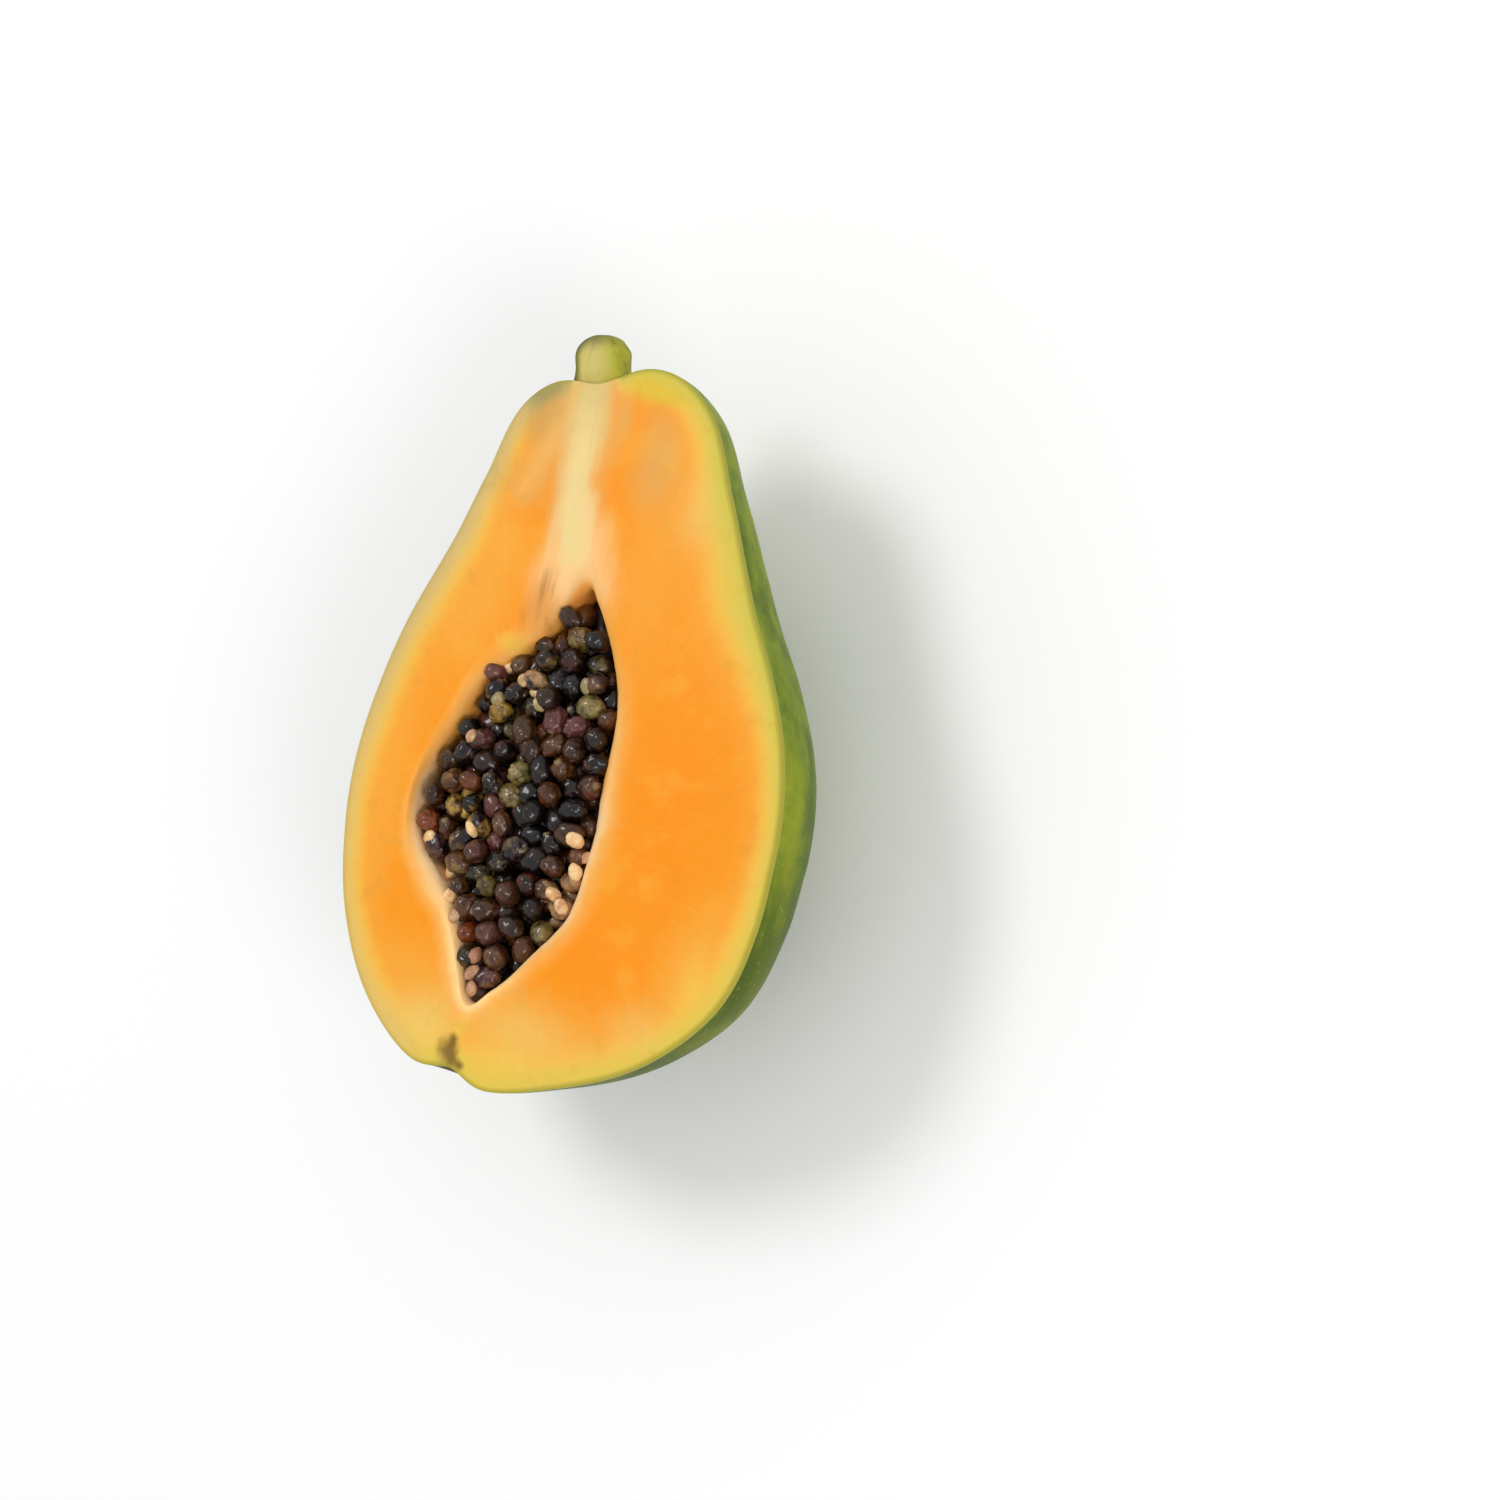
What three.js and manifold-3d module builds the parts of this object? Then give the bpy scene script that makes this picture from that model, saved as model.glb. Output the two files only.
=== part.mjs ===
// Half of a ripe papaya, cut lengthwise and lying on its back with the cut face up.
// Millimetres, +Z up out of the cut face, +Y towards the stalk, +X to the thick-walled side.
// The shapes are worked out about a datum in the cut plane, and the finished group is then
// moved so that its origin is the bottom centre of the whole object.
import * as THREE from "three";
import { mergeVertices } from "three/addons/utils/BufferGeometryUtils.js";
import Module from "manifold-3d";

const wasm = await Module();
wasm.setup();

// ---- Driving dimensions ----

const body = {
  centre: { x: 2, y: -20 }, // middle of the widest part of the cut face
  // Outline of the cut face: [degrees from +X about the centre, radius].
  outline: [
    [0, 58.6], [30, 61], [50, 65.8], [61, 73], [71, 84.5], [79, 98], [86, 104.6], [95, 105],
    [104, 102.6], [110, 97.4], [117, 84.6], [127, 73], [142, 65], [162, 59.4], [190, 57.9],
    [212, 60.4], [232, 64], [250, 66.2], [265, 65], [285, 61.9], [310, 62.4], [328, 62.6], [345, 60],
  ],
  // Roundness along Y: how deep the back is, as a share of half the cut face's width there.
  fullness: [[-90, 0.88], [-50, 0.94], [-20, 1.02], [10, 1.06], [40, 1.06], [90, 0.98]],
  back: { x: 1, y: -12 }, // deepest place, where the half rests
  restingFlat: 1, // how much of the round back is flattened there
  around: 112,
  rings: 13,
};

// Round hollows in the skin: the basin that the stalk grows from, and the blossom end.
const hollows = [
  { x: -11.5, y: 85, z: -2, depth: 4.2, width: 8.5 },
  { x: -12, y: -83, z: 0, depth: 3.4, width: 6.5 },
];

const cavity = {
  centre: { x: -9, y: -20 },
  depth: 29,
  lipDepth: 4, // the wall slopes in over the lip before it drops
  // The rim and how far the lip comes in from it: [degrees about the centre, size].
  rim: [
    [0, 29.4], [22, 30.6], [42, 35], [60, 43], [72, 50.2], [80, 56.4], [85, 59.8], [90, 51],
    [100, 43.6], [120, 36.2], [140, 30.6], [165, 29.2], [200, 30.3], [224, 30.4], [242, 29.8],
    [254, 33.6], [262, 40.2], [268, 46.6], [275, 43], [290, 37.2], [310, 34.5], [335, 30.1],
  ],
  lip: [
    [0, 9], [30, 9.2], [60, 6.6], [97, 6], [128, 3], [147, 2.8], [180, 1.2], [206, 2.6],
    [222, 4.2], [244, 2.6], [268, 1.2], [295, 4.6], [320, 7.4],
  ],
  rings: 7,
};

const stalk = {
  base: { x: -9.1, y: 68.3 }, // on the stalk's axis, inside the fruit
  axisDepth: 3.5, // the cut passes this far above the axis
  lean: 14, // degrees from +Y towards -X
  radius: 6.5,
  flare: 1.5, // added to the radius where it meets the fruit
  length: 23.8,
  endRounding: 5,
  sides: 24,
  gap: 0.3, // clearance to the fruit
};

const seeds = {
  count: 250,
  reach: 2.8, // half the spacing that the seeds settle to
  semiAxes: { long: 3.7, wide: 3, thick: 2.8 },
  smallest: 0.88, // each seed's size, as a share of the semi-axes
  largest: 1.1,
  layer: 13, // they settle in this much of the cavity's depth, over the hidden heap
  topHeight: -2.4, // highest that a seed's middle settles at the wall, from the cut face
  crown: 2.3, // how much higher the middle of the heap is
  unevenness: 2.2,
  span: 60, // the places are drawn within this distance of the middle, along X and along Y
  steps: 150,
  push: 0.45, // how far each of two seeds that overlap moves in a step, as a share of the overlap
  shownAbove: -7.2, // seeds whose middle is lower are hidden in the heap
  coreTop: -5.2,
  coreInset: 0.7, // from the cavity wall to the hidden heap
  coreBevel: 1, // how much further in the heap's upper edge is
  clearance: 0.5, // to the cavity wall
  headroom: 10, // above the cut face, over the highest seed
  around: 48,
};

// ---- Helpers ----

const radians = THREE.MathUtils.degToRad;
const turns = (count) => Array.from({ length: count }, (_, k) => (360 * k) / count);

// The value at an angle of a smooth closed curve through [angle, value] knots.
function roundCurve(knots, degrees) {
  const n = knots.length;
  const at = ((degrees % 360) + 360) % 360;
  let i = knots.findLastIndex(([angle]) => angle <= at);
  if (i < 0) i = n - 1;
  const knot = (k) => {
    const laps = Math.floor(k / n);
    const [angle, value] = knots[k - laps * n];
    return [angle + 360 * laps, value];
  };
  const [before, start, end, after] = [knot(i - 1), knot(i), knot(i + 1), knot(i + 2)];
  const span = end[0] - start[0];
  const t = (at - start[0]) / span;
  const slopeIn = ((end[1] - before[1]) / (end[0] - before[0])) * span;
  const slopeOut = ((after[1] - start[1]) / (after[0] - start[0])) * span;
  const t2 = t * t;
  const t3 = t2 * t;
  return (
    (2 * t3 - 3 * t2 + 1) * start[1] + (t3 - 2 * t2 + t) * slopeIn +
    (3 * t2 - 2 * t3) * end[1] + (t3 - t2) * slopeOut
  );
}

// The value at a place of a smooth open curve through [place, value] knots.
function openCurve(knots, place) {
  const last = knots.length - 1;
  const i = Math.min(Math.max(knots.findLastIndex(([at]) => at <= place), 0), last - 1);
  const [before, start, end, after] = [-1, 0, 1, 2].map((k) => knots[Math.min(Math.max(i + k, 0), last)]);
  const span = end[0] - start[0];
  const t = Math.min(Math.max((place - start[0]) / span, 0), 1);
  const slopeIn = ((end[1] - before[1]) / (end[0] - before[0])) * span;
  const slopeOut = ((after[1] - start[1]) / (after[0] - start[0])) * span;
  return (
    (2 * t ** 3 - 3 * t ** 2 + 1) * start[1] + (t ** 3 - 2 * t ** 2 + t) * slopeIn +
    (3 * t ** 2 - 2 * t ** 3) * end[1] + (t ** 3 - t ** 2) * slopeOut
  );
}

// Draws the same numbers from 0 to 1 on every run.
function seededDraw(seed) {
  let state = seed;
  return () => {
    state = (1664525 * state + 1013904223) % 4294967296;
    return state / 4294967296;
  };
}

// A closed geometry from rings of points, each end closed to a single point.
function closedRings(startPoint, rings, endPoint) {
  const n = rings[0].length;
  const points = [startPoint, ...rings.flat(), endPoint];
  const last = points.length - 1;
  const index = [];
  const vertex = (ring, k) => 1 + ring * n + (k % n);
  for (let k = 0; k < n; k++) {
    index.push(0, vertex(0, k + 1), vertex(0, k));
    index.push(last, vertex(rings.length - 1, k), vertex(rings.length - 1, k + 1));
  }
  for (let ring = 0; ring < rings.length - 1; ring++) {
    for (let k = 0; k < n; k++) {
      const [a, b] = [vertex(ring, k), vertex(ring, k + 1)];
      const [c, d] = [vertex(ring + 1, k), vertex(ring + 1, k + 1)];
      index.push(a, b, c, b, d, c);
    }
  }
  const geometry = new THREE.BufferGeometry().setFromPoints(points);
  geometry.setIndex(index);
  return geometry;
}

function toSolid(geometry) {
  const bare = geometry.clone();
  for (const name of Object.keys(bare.attributes)) {
    if (name !== "position") bare.deleteAttribute(name);
  }
  const merged = mergeVertices(bare, 1e-4);
  return new wasm.Manifold(
    new wasm.Mesh({
      numProp: 3,
      vertProperties: new Float32Array(merged.attributes.position.array),
      triVerts: new Uint32Array(merged.index.array),
    }),
  );
}

function toGeometry(solid) {
  const mesh = solid.getMesh();
  const geometry = new THREE.BufferGeometry();
  geometry.setAttribute("position", new THREE.BufferAttribute(mesh.vertProperties, 3));
  geometry.setIndex(new THREE.BufferAttribute(mesh.triVerts, 1));
  return geometry;
}

function namedMesh(name, geometry, color, roughness) {
  const flat = geometry.index ? geometry.toNonIndexed() : geometry;
  flat.computeVertexNormals();
  const mesh = new THREE.Mesh(flat, new THREE.MeshStandardMaterial({ color, roughness, metalness: 0 }));
  mesh.name = name;
  return mesh;
}

// ---- Flesh with its skin ----

function outlinePoint(turn) {
  const radius = roundCurve(body.outline, turn);
  const { x, y } = body.centre;
  return new THREE.Vector2(x + radius * Math.cos(radians(turn)), y + radius * Math.sin(radians(turn)));
}

// The outline's left and right sides, each as points that rise along Y.
const outlineRound = turns(720).map((turn) => outlinePoint(turn));
const highest = outlineRound.reduce((best, point, k) => (point.y > outlineRound[best].y ? k : best), 0);
const lowest = outlineRound.reduce((best, point, k) => (point.y < outlineRound[best].y ? k : best), 0);
const leftSide = outlineRound.slice(highest, lowest + 1).reverse();
const rightSide = [...outlineRound.slice(lowest), ...outlineRound.slice(0, highest + 1)];

function sideAt(side, y) {
  const next = side.findIndex((point) => point.y >= y);
  if (next < 1) return next < 0 ? side.at(-1).x : side[0].x;
  const [before, after] = [side[next - 1], side[next]];
  return before.x + ((after.x - before.x) * (y - before.y)) / (after.y - before.y);
}

// How deep the round back lies under a place in the cut face.
function backDepth(x, y) {
  const room = (x - sideAt(leftSide, y)) * (sideAt(rightSide, y) - x);
  return openCurve(body.fullness, y) * Math.sqrt(Math.max(room, 0));
}

const deepest = backDepth(body.back.x, body.back.y);
const backFall = THREE.MathUtils.radToDeg(Math.asin(1 - body.restingFlat / deepest));

// A point of the skin: turn is round the cut face, and fall goes from 0 at the cut to 90 at the back.
function skinPoint(turn, fall) {
  const edge = outlinePoint(turn);
  const depth = deepest * Math.sin(radians(fall));
  let [inner, outer] = [0, 1];
  for (let k = 0; k < 24; k++) {
    const share = (inner + outer) / 2;
    const x = THREE.MathUtils.lerp(body.back.x, edge.x, share);
    const y = THREE.MathUtils.lerp(body.back.y, edge.y, share);
    if (backDepth(x, y) > depth) inner = share;
    else outer = share;
  }
  const share = fall > 0 ? inner : 1;
  const point = new THREE.Vector3(
    THREE.MathUtils.lerp(body.back.x, edge.x, share),
    THREE.MathUtils.lerp(body.back.y, edge.y, share),
    -depth,
  );
  const inwards = new THREE.Vector3(body.back.x, body.back.y, 0).sub(point).normalize();
  for (const { x, y, z, depth: dent, width } of hollows) {
    const away = point.distanceTo(new THREE.Vector3(x, y, z)) / width;
    point.addScaledVector(inwards, dent * Math.exp(-away * away));
  }
  return point;
}

// A point of the cavity's wall: fall goes from 0 at the foot of the lip to 90 at the bottom.
function cavityPoint(turn, fall, shrink = 0) {
  const rim = roundCurve(cavity.rim, turn) - roundCurve(cavity.lip, turn);
  const radius = (rim - shrink) * Math.cos(radians(fall));
  const drop = (cavity.depth - cavity.lipDepth - shrink) * Math.sin(radians(fall));
  return new THREE.Vector3(
    cavity.centre.x + radius * Math.cos(radians(turn)),
    cavity.centre.y + radius * Math.sin(radians(turn)),
    -cavity.lipDepth - drop,
  );
}

function rimPoint(turn) {
  const radius = roundCurve(cavity.rim, turn);
  return new THREE.Vector3(
    cavity.centre.x + radius * Math.cos(radians(turn)),
    cavity.centre.y + radius * Math.sin(radians(turn)),
    0,
  );
}

function fleshGeometry() {
  const around = turns(body.around);
  const rings = [];
  for (let k = 0; k <= body.rings; k++) {
    const fall = backFall * (1 - k / body.rings);
    rings.push(around.map((turn) => skinPoint(turn, fall)));
  }
  rings.push(around.map(rimPoint));
  for (let k = 0; k < cavity.rings; k++) {
    rings.push(around.map((turn) => cavityPoint(turn, (90 * k) / cavity.rings)));
  }
  const back = new THREE.Vector3(body.back.x, body.back.y, body.restingFlat - deepest);
  const bottom = new THREE.Vector3(cavity.centre.x, cavity.centre.y, -cavity.depth);
  return closedRings(back, rings, bottom);
}

// ---- Stalk stub, cut in the same plane as the fruit ----

// The whole round stub.
function stalkGeometry() {
  const along = new THREE.Vector3(-Math.sin(radians(stalk.lean)), Math.cos(radians(stalk.lean)), 0);
  const across = new THREE.Vector3(along.y, -along.x, 0);
  const base = new THREE.Vector3(stalk.base.x, stalk.base.y, -stalk.axisDepth);
  const straight = stalk.length - stalk.endRounding;
  // Each station has its distance from the base and its radius.
  const flareAlong = [[0, 1], [0.55, 0.8], [0.8, 0]];
  const stations = flareAlong.map(([share, flare]) => [straight * share, stalk.radius + stalk.flare * flare]);
  for (const turn of [0, 30, 55, 75]) {
    const rounding = stalk.endRounding * (1 - Math.cos(radians(turn)));
    stations.push([straight + stalk.endRounding * Math.sin(radians(turn)), stalk.radius - rounding]);
  }
  const rings = stations.map(([distance, radius]) =>
    turns(stalk.sides).map((turn) =>
      base.clone()
        .addScaledVector(along, distance)
        .addScaledVector(across, radius * Math.sin(radians(turn)))
        .add(new THREE.Vector3(0, 0, radius * Math.cos(radians(turn)))),
    ),
  );
  const end = base.clone().addScaledVector(along, stalk.length);
  return closedRings(base, rings, end);
}

// The fruit's upper end without its cavity, grown by the stalk's clearance.
function fruitEnvelope() {
  const around = turns(body.around);
  const rings = [];
  for (let fall = 80; fall >= -80; fall -= 8) {
    rings.push(around.map((turn) => {
      const point = skinPoint(turn, Math.abs(fall));
      const outwards = point.clone().sub(new THREE.Vector3(body.back.x, body.back.y, 0)).normalize();
      point.addScaledVector(outwards, stalk.gap);
      point.z = fall < 0 ? -point.z : point.z;
      return point;
    }));
  }
  const back = new THREE.Vector3(body.back.x, body.back.y, -deepest);
  const front = new THREE.Vector3(body.back.x, body.back.y, deepest);
  return closedRings(back, rings, front);
}

function stalkSolid() {
  const size = 3 * stalk.length;
  const aboveCut = new THREE.BoxGeometry(size, size, size).translate(stalk.base.x, stalk.base.y, size / 2);
  return toSolid(stalkGeometry()).subtract(toSolid(aboveCut)).subtract(toSolid(fruitEnvelope()));
}

// ---- Seeds ----

// Where the seeds lie: drawn at random over the hidden heap, then pushed apart until they fill the layer.
function settledSeeds() {
  const draw = seededDraw(7);
  const { reach, count, span } = seeds;
  const deep = cavity.depth - reach;
  const places = [];
  while (places.length < count) {
    const [x, y] = [2 * span * draw() - span, 2 * span * draw() - span];
    const turn = THREE.MathUtils.radToDeg(Math.atan2(y, x));
    const z = -reach - (seeds.layer - reach) * draw();
    const low = seeds.unevenness * draw();
    const wall = roundCurve(cavity.rim, turn) - roundCurve(cavity.lip, turn) - reach;
    if (Math.sqrt(x * x + y * y) > wall) continue;
    places.push({ x: cavity.centre.x + x, y: cavity.centre.y + y, z, low });
  }
  for (let step = 0; step < seeds.steps; step++) {
    const shifts = places.map(() => [0, 0, 0]);
    for (let i = 0; i < count; i++) {
      for (let j = i + 1; j < count; j++) {
        const apart = [places[j].x - places[i].x, places[j].y - places[i].y, places[j].z - places[i].z];
        const distance = Math.max(Math.hypot(...apart), 1e-6);
        const push = (seeds.push * Math.max(2 * reach - distance, 0)) / distance;
        apart.forEach((part, axis) => {
          shifts[i][axis] -= push * part;
          shifts[j][axis] += push * part;
        });
      }
    }
    places.forEach((place, k) => {
      const fromX = place.x + shifts[k][0] - cavity.centre.x;
      const fromY = place.y + shifts[k][1] - cavity.centre.y;
      const turn = THREE.MathUtils.radToDeg(Math.atan2(fromY, fromX));
      const wall = roundCurve(cavity.rim, turn) - roundCurve(cavity.lip, turn) - reach;
      const out = Math.sqrt(fromX * fromX + fromY * fromY);
      const room = wall * Math.sqrt(Math.max(1 - (place.z / deep) ** 2, 0));
      const pull = out > room ? room / out : 1;
      const share = Math.min(out / wall, 1);
      const top = seeds.topHeight + seeds.crown * (1 - share * share) - place.low;
      place.x = cavity.centre.x + fromX * pull;
      place.y = cavity.centre.y + fromY * pull;
      place.z = Math.max(Math.min(place.z + shifts[k][2], top), -seeds.layer);
    });
  }
  for (const place of places) {
    place.turns = [360 * draw(), 360 * draw(), 360 * draw()];
    place.scale = THREE.MathUtils.lerp(seeds.smallest, seeds.largest, draw());
  }
  return places;
}

function seedGeometry({ x, y, z, turns: [a, b, c], scale }) {
  const { long, wide, thick } = seeds.semiAxes;
  const geometry = new THREE.IcosahedronGeometry(1, 0);
  geometry.scale(long * scale, wide * scale, thick * scale);
  geometry.rotateX(radians(a)).rotateY(radians(b)).rotateZ(radians(c));
  return geometry.translate(x, y, z);
}

// The heap under the seeds that show, filling the cavity.
function coreGeometry() {
  const around = turns(seeds.around);
  const { coreInset, coreBevel, coreTop } = seeds;
  const rings = [];
  for (const fall of [74, 58, 42, 27, 13, 4]) {
    rings.push(around.map((turn) => cavityPoint(turn, fall, coreInset)));
  }
  rings.push(around.map((turn) => cavityPoint(turn, 0, coreInset + coreBevel).setZ(coreTop)));
  const bottom = new THREE.Vector3(cavity.centre.x, cavity.centre.y, coreInset - cavity.depth);
  const top = new THREE.Vector3(cavity.centre.x, cavity.centre.y, coreTop);
  return closedRings(bottom, rings, top);
}

// The upper cavity less its clearance, and the space above it, which no seed leaves.
function heapRoom() {
  const around = turns(seeds.around);
  const rings = [];
  for (const fall of [40, 20, 0]) {
    rings.push(around.map((turn) => cavityPoint(turn, fall, seeds.clearance)));
  }
  rings.push(around.map((turn) => cavityPoint(turn, 0, seeds.clearance).setZ(seeds.headroom)));
  const bottom = new THREE.Vector3(cavity.centre.x, cavity.centre.y, rings[0][0].z);
  const top = new THREE.Vector3(cavity.centre.x, cavity.centre.y, seeds.headroom);
  return closedRings(bottom, rings, top);
}

function heapSolid() {
  const shown = settledSeeds().filter((place) => place.z > seeds.shownAbove);
  const pieces = shown.map((place) => toSolid(seedGeometry(place)));
  const kept = wasm.Manifold.union(pieces).intersect(toSolid(heapRoom()));
  const whole = kept.add(toSolid(coreGeometry()));
  const bodies = whole.decompose();
  return bodies.reduce((most, one) => (one.volume() > most.volume() ? one : most));
}

// ---- The part ----

const papaya = new THREE.Group();
papaya.add(namedMesh("flesh", fleshGeometry(), 0xf79a2e, 0.45));
papaya.add(namedMesh("stalk", toGeometry(stalkSolid()), 0x9a9a4a, 0.7));
papaya.add(namedMesh("seeds", toGeometry(heapSolid()), 0x2a1c18, 0.3));

const box = new THREE.Box3().setFromObject(papaya);
const middle = box.getCenter(new THREE.Vector3());
papaya.position.set(-middle.x, -middle.y, -box.min.z);

export default papaya;
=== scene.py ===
import math

import bmesh
import bpy
import numpy as np
from mathutils import Matrix, Vector, kdtree, noise


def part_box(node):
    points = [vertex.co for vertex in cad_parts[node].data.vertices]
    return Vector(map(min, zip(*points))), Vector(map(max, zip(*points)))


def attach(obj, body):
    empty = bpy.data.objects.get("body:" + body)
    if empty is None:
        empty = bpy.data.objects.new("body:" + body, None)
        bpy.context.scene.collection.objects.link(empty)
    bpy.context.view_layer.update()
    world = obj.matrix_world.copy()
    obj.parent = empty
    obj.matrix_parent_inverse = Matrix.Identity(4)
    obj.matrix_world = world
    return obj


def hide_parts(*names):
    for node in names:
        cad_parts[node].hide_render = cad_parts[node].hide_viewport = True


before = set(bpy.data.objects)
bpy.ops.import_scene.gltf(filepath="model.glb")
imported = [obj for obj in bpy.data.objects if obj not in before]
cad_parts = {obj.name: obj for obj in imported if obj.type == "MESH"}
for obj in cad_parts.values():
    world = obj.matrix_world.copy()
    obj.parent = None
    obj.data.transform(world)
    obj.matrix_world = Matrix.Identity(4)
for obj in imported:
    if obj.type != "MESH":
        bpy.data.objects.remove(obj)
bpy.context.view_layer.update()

print("papaya half: frame loaded")

# Shapes are worked out in millimetres about a datum in the cut face: +Y towards the stalk,
# +X towards the thick side and +Z out of the cut.


def smoothBetween(before, start, end, after, place):
    # smooth curve from start to end, which like their neighbours hold places and values
    span = end[0] - start[0]
    t = (place - start[0]) / span
    slopeIn = (end[1] - before[1]) / (end[0] - before[0]) * span
    slopeOut = (after[1] - start[1]) / (after[0] - start[0]) * span
    return (
        (2 * t**3 - 3 * t**2 + 1) * start[1] + (t**3 - 2 * t**2 + t) * slopeIn
        + (3 * t**2 - 2 * t**3) * end[1] + (t**3 - t**2) * slopeOut
    )


def closedCurve(knots, degrees):
    # smooth closed curve through [degrees, value] knots
    angles, values = np.array(knots, float).T
    count = len(knots)
    at = np.asarray(degrees, float) % 360
    first = (np.searchsorted(angles, at, side="right") - 1) % count
    at = np.where(at < angles[0], at + 360, at)

    def knotAt(index):
        laps = np.floor_divide(index, count)
        return angles[index - laps * count] + 360 * laps, values[index - laps * count]

    return smoothBetween(*[knotAt(first + step) for step in (-1, 0, 1, 2)], at)


def openCurve(knots, places):
    # smooth open curve through [place, value] knots
    at, values = np.array(knots, float).T
    places = np.clip(np.asarray(places, float), at[0], at[-1])
    last = len(at) - 1
    first = np.clip(np.searchsorted(at, places, side="right") - 1, 0, last - 1)
    near = [np.clip(first + step, 0, last) for step in (-1, 0, 1, 2)]
    return smoothBetween(*[(at[index], values[index]) for index in near], places)


def ease(values, low, high):
    # 0 below low, 1 above high, and smooth between
    t = np.clip((np.asarray(values, float) - low) / (high - low), 0, 1)
    return t * t * (3 - 2 * t)


def noiseAt(points, size, offset=0.0):
    # smooth noise from -1 to 1 at each point, with bumps about as large as size
    shift = Vector((offset, offset * 1.7, offset * 0.6))
    return np.array([noise.noise(Vector(point) / size + shift) for point in points.reshape(-1, 3)])


def noiseSum(points, layers):
    # noises added up: size, height and offset of each
    return sum(height * noiseAt(points, size, offset) for size, height, offset in layers)


def lengths(vectors):
    return np.linalg.norm(vectors, axis=-1)


def bell(points, middle, width):
    # 1 at the middle and fading over the width
    return np.exp(-((lengths(points - np.array(middle)) / width) ** 2))


def nearLine(points, line):
    # how near the points are to a line of [x, y, half width] knots: 1 on it, 0 at its half width
    knots = np.array(line, float)
    nearest = np.full(len(points), np.inf)
    for start, end in zip(knots[:-1], knots[1:]):
        along = end[:2] - start[:2]
        share = np.clip((points[:, :2] - start[:2]) @ along / (along @ along), 0, 1)[:, None]
        foot = start + (end - start) * share
        nearest = np.minimum(nearest, lengths(points[:, :2] - foot[:, :2]) / foot[:, 2])
    return np.clip(1 - nearest, 0, 1)


def ringAt(centre, radius, turns):
    # places in the cut face at a radius from a centre, for turns in degrees
    x, y = centre
    return np.stack([x + radius * np.cos(np.radians(turns)), y + radius * np.sin(np.radians(turns))], -1)


def turnAbout(centre, points):
    # each point's turn about a centre in degrees and its distance, both in the cut face
    away = points[:, :2] - np.array(centre)
    return np.degrees(np.arctan2(away[:, 1], away[:, 0])), lengths(away)


class Draw:
    # the same numbers from 0 to 1 on every run
    factor, step, limit = 1664525, 1013904223, 2**32

    def __init__(self, seed):
        self.state = seed

    def next(self):
        self.state = (self.factor * self.state + self.step) % self.limit
        return self.state / self.limit

    def between(self, low, high):
        return low + (high - low) * self.next()


# the fruit's form

fruit = {
    "centre": (2, -20),  # middle of the widest part of the cut face
    "outline": [
        (0, 58.6), (30, 61), (50, 65.8), (61, 73), (71, 84.5), (79, 98), (86, 104.6), (95, 105),
        (104, 102.6), (110, 97.4), (117, 84.6), (127, 73), (142, 65), (162, 59.4), (190, 57.9),
        (212, 60.4), (232, 64), (250, 66.2), (265, 65), (285, 61.9), (310, 62.4), (328, 62.6), (345, 60),
    ],
    "fullness": [(-90, 0.88), (-50, 0.94), (-20, 1.02), (10, 1.06), (40, 1.06), (90, 0.98)],
    "back": (1, -12),  # deepest place, where it rests
    "restingFlat": 1,
    "restingShares": (0.2, 0.45, 0.7, 0.88),  # rings across the flat resting spot
    "hollows": [  # middle, depth and width of the dents in the skin
        ((-11.5, 85, -2), 4.2, 8.5),
        ((-12, -83, 0), 3.4, 6.5),
    ],
    "spine": -3,  # X of the line that the skin's ridges lie round
    "ridgeCount": 5,
    "ridgeHeight": 0.35,
    "ridgeTurn": 0.6,
    "unevenness": [(22, 0.3, 0), (7, 0.09, 3)],  # size, height and offset of each noise
    "around": 560,
    "skinRings": 72,
    "skinCrowding": 1.15,  # how much closer the rings are towards the back
    "surfaceSteps": 26,  # halvings in the search for the skin's surface
    "faceRings": 46,
    "cutEdge": 0.35,  # rounding where the knife met the skin
    "cutRelief": 0.14,
    "cutNoises": [(8, 1, 5), (2.6, 0.4, 9)],
    "cutSunk": 0.6,  # share of the relief that the cut lies lower, so that it stays under its plane
    "scar": ((-12.4, -76.8, 0), 2.4, 0.7),  # the blossom scar's pit in the cut face: middle, width, depth
}

cavity = {
    "centre": (-9, -20),
    "depth": 29,
    "lipDepth": 4,
    "lipTurn": 78,  # how far the lip bends over, in degrees
    "lipRoundness": 0.75,
    "lipRelief": 0.18,
    "rim": [
        (0, 29.4), (22, 30.6), (42, 35), (60, 43), (72, 50.2), (80, 56.4), (85, 59.8), (90, 51),
        (100, 43.6), (120, 36.2), (140, 30.6), (165, 29.2), (200, 30.3), (224, 30.4), (242, 29.8),
        (254, 33.6), (262, 40.2), (268, 46.6), (275, 43), (290, 37.2), (310, 34.5), (335, 30.1),
    ],
    "lip": [
        (0, 9), (30, 9.2), (60, 6.6), (97, 6), (128, 3), (147, 2.8), (180, 1.2), (206, 2.6),
        (222, 4.2), (244, 2.6), (268, 1.2), (295, 4.6), (320, 7.4),
    ],
    "lipShares": (0, 0.06, 0.14, 0.24, 0.36, 0.48, 0.6, 0.72, 0.84, 0.94),
    "rings": 22,
    "wallRelief": 0.3,
}


def outlineAt(turns):
    return ringAt(fruit["centre"], closedCurve(fruit["outline"], turns), turns)


def rimAt(turns, inwards=0.0):
    return ringAt(cavity["centre"], closedCurve(cavity["rim"], turns) - inwards, turns)


outlineRound = outlineAt(np.arange(0, 360, 0.25))
highest = int(outlineRound[:, 1].argmax())
lowest = int(outlineRound[:, 1].argmin())
leftSide = outlineRound[highest:lowest + 1][::-1]
rightSide = np.concatenate([outlineRound[lowest:], outlineRound[:highest + 1]])


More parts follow.
